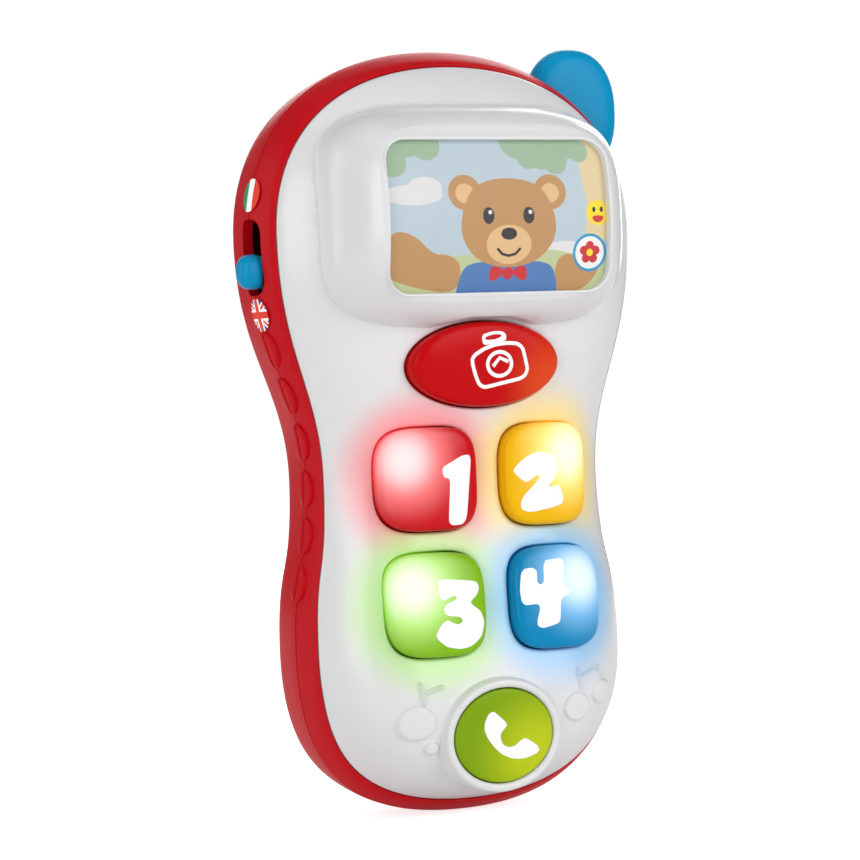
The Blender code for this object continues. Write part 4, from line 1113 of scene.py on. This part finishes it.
# ---------------------------------------------------------------- battery cells
def cell(name, button_up):
    """Round cell in a printed jacket, with its button at one end."""
    low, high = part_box(name)
    centre, radius = middle(name), (high[0] - low[0]) / 2 / MM
    z0, z1 = low[2] / MM + ORIGIN.z, high[2] / MM + ORIGIN.z
    profile = [(0.80, 0.0), (0.93, 0.0), (1.0, 0.35), (1.0, 4.0)]
    profile += [(1.0, z1 - z0 - 1.8), (0.93, z1 - z0 - 1.3), (0.80, z1 - z0 - 1.3), (0.78, z1 - z0 - 1.15),
                (0.37, z1 - z0 - 1.1), (0.37, z1 - z0 - 0.2), (0.30, z1 - z0)]
    rings = []
    for share, up in profile:
        loop = ellipse((centre.x, centre.y), share * radius, share * radius, 48)
        z = z0 + up if button_up else z1 - up
        rings.append(np.column_stack([loop, np.full(len(loop), z)]))
    return piece(name + "_fine", capped(rings), FINISHES[name], "housing", [name])


# ---------------------------------------------------------------- carried-over CAD nodes
steel = metal("steel_fine", (0.55, 0.55, 0.57), 0.28)
FINISHES = {
    "light_box": plastic("tray_white", (0.8, 0.8, 0.8), 0.5),
    "screen_led": plastic("led_lens", (0.9, 0.9, 0.85), 0.15),
    "main_board": plastic("circuit_board", (0.02, 0.15, 0.05), 0.45, 0.1, 0.15),
    "chip_blob": plastic("black_epoxy", (0.012, 0.012, 0.013), 0.25, 0.1, 0.1),
    "capacitor": plastic("capacitor_sleeve", (0.02, 0.02, 0.05), 0.35),
    "speaker_frame": steel, "contact_spring_1": steel, "contact_spring_2": steel, "contact_plate_top": steel,
    "contact_plate_bottom": steel, "language_switch": steel, "power_switch": steel,
    "battery_door_screw": steel,
    "speaker_magnet": metal("magnet", (0.10, 0.10, 0.11), 0.4),
    "speaker_cone": plastic("speaker_cone", (0.03, 0.03, 0.03), 0.7, 0.2, 0.1),
    "battery_1": plastic("cell_sleeve", (0.03, 0.03, 0.035), 0.35),
    "battery_wire_red": plastic("wire_red", (0.5, 0.01, 0.01), 0.4),
    "battery_wire_black": plastic("wire_black", (0.01, 0.01, 0.01), 0.4),
    "language_switch_lever": plastic("lever_black", (0.02, 0.02, 0.02), 0.4),
    "power_slider": blue,
}
FINISHES["battery_2"] = FINISHES["battery_1"]
FINISHES["speaker_wire"] = FINISHES["battery_wire_red"]
FINISHES["power_switch_lever"] = FINISHES["language_switch_lever"]
silicone = plastic("silicone", (0.55, 0.56, 0.54), 0.6)
for name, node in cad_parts.items():
    if name.startswith("dome_"):
        FINISHES[name] = silicone
    elif name.startswith("key_led"):
        FINISHES[name] = FINISHES["screen_led"]
    elif "_screw_" in name and name not in FINISHES:
        FINISHES[name] = steel
cell("battery_1", True)
cell("battery_2", False)
for name, finish in FINISHES.items():
    for material_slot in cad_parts[name].material_slots:
        material_slot.material = finish

# ---------------------------------------------------------------- camera, floor and lights
AIM = to_world((-4.19, 0.0, 84.9))
AZIMUTH, ELEVATION, ROLL, DISTANCE = math.radians(-25), math.radians(0.94), math.radians(-2.16), 0.65
flat = math.cos(ELEVATION)
back = Vector((math.sin(AZIMUTH) * flat, -math.cos(AZIMUTH) * flat, math.sin(ELEVATION)))
level = Vector((math.cos(AZIMUTH), math.sin(AZIMUTH), 0))
up = back.cross(level)
across = math.cos(ROLL) * level + math.sin(ROLL) * up
upward = -math.sin(ROLL) * level + math.cos(ROLL) * up
camera_data = bpy.data.cameras.new("camera")
camera_data.lens = 122.17
camera_data.sensor_width = 36.0
camera = add_object("camera", camera_data)
turned_to = Matrix((across, upward, back)).transposed().to_4x4()
camera.matrix_world = Matrix.Translation(AIM + back * DISTANCE) @ turned_to
bpy.context.scene.camera = camera


def lit_by_camera(tree, socket, dim, bright):
    """Show a plain white backdrop without letting it flood the object with light."""
    seen = tree.nodes.new("ShaderNodeLightPath").outputs["Is Camera Ray"]
    amount = add_node(tree, "MapRange", {"To Min": dim, "To Max": bright}, {"Value": seen})
    tree.links.new(amount.outputs["Result"], socket)


floor_z = cad_box[0][2]
floor_mesh = bpy.data.meshes.new("floor")
rim = [(1.2 * math.cos(a), 1.2 * math.sin(a), floor_z) for a in np.linspace(0, 2 * math.pi, 97)[:-1]]
floor_mesh.from_pydata(rim, [], [tuple(range(len(rim)))])
floor = add_object("floor", floor_mesh)
paper = plastic("paper_floor", (0.72, 0.72, 0.72), 0.8, 0.0, 0.005)
paper_shader = nodes_of(paper)[1]
paper_shader.inputs["Emission Color"].default_value = (1, 1, 1, 1)
lit_by_camera(nodes_of(paper)[0], paper_shader.inputs["Emission Strength"], 0.18, 0.75)
floor_mesh.materials.append(paper)


def softbox(name, place_at, size, power):
    """Rectangular lamp that faces the frame's origin."""
    light = bpy.data.lights.new(name, "AREA")
    light.shape = "RECTANGLE"
    light.size, light.size_y = size
    light.energy = power
    ob = add_object(name, light)
    ob.location = place_at
    ob.rotation_euler = (-Vector(place_at)).to_track_quat("-Z", "Y").to_euler()


softbox("key_light", (0.50, -1.20, 0.45), (0.9, 0.9), 9)
softbox("fill_light", (-1.00, -0.75, 0.30), (0.6, 0.8), 4.5)
softbox("top_light", (-0.2, -0.1, 1.1), (1.0, 0.8), 1.5)
softbox("rim_light", (-0.9, 0.45, 0.2), (0.5, 1.0), 2.5)
softbox("rear_light", (0.5, 0.9, 0.4), (0.8, 0.8), 6)

world = bpy.data.worlds.new("studio")
bpy.context.scene.world = world
world.use_nodes = True
sky = world.node_tree.nodes["Background"]
sky.inputs["Color"].default_value = (1, 1, 1, 1)
lit_by_camera(world.node_tree, sky.inputs["Strength"], 0.23, 1.05)
bpy.context.scene.view_settings.view_transform = "Standard"
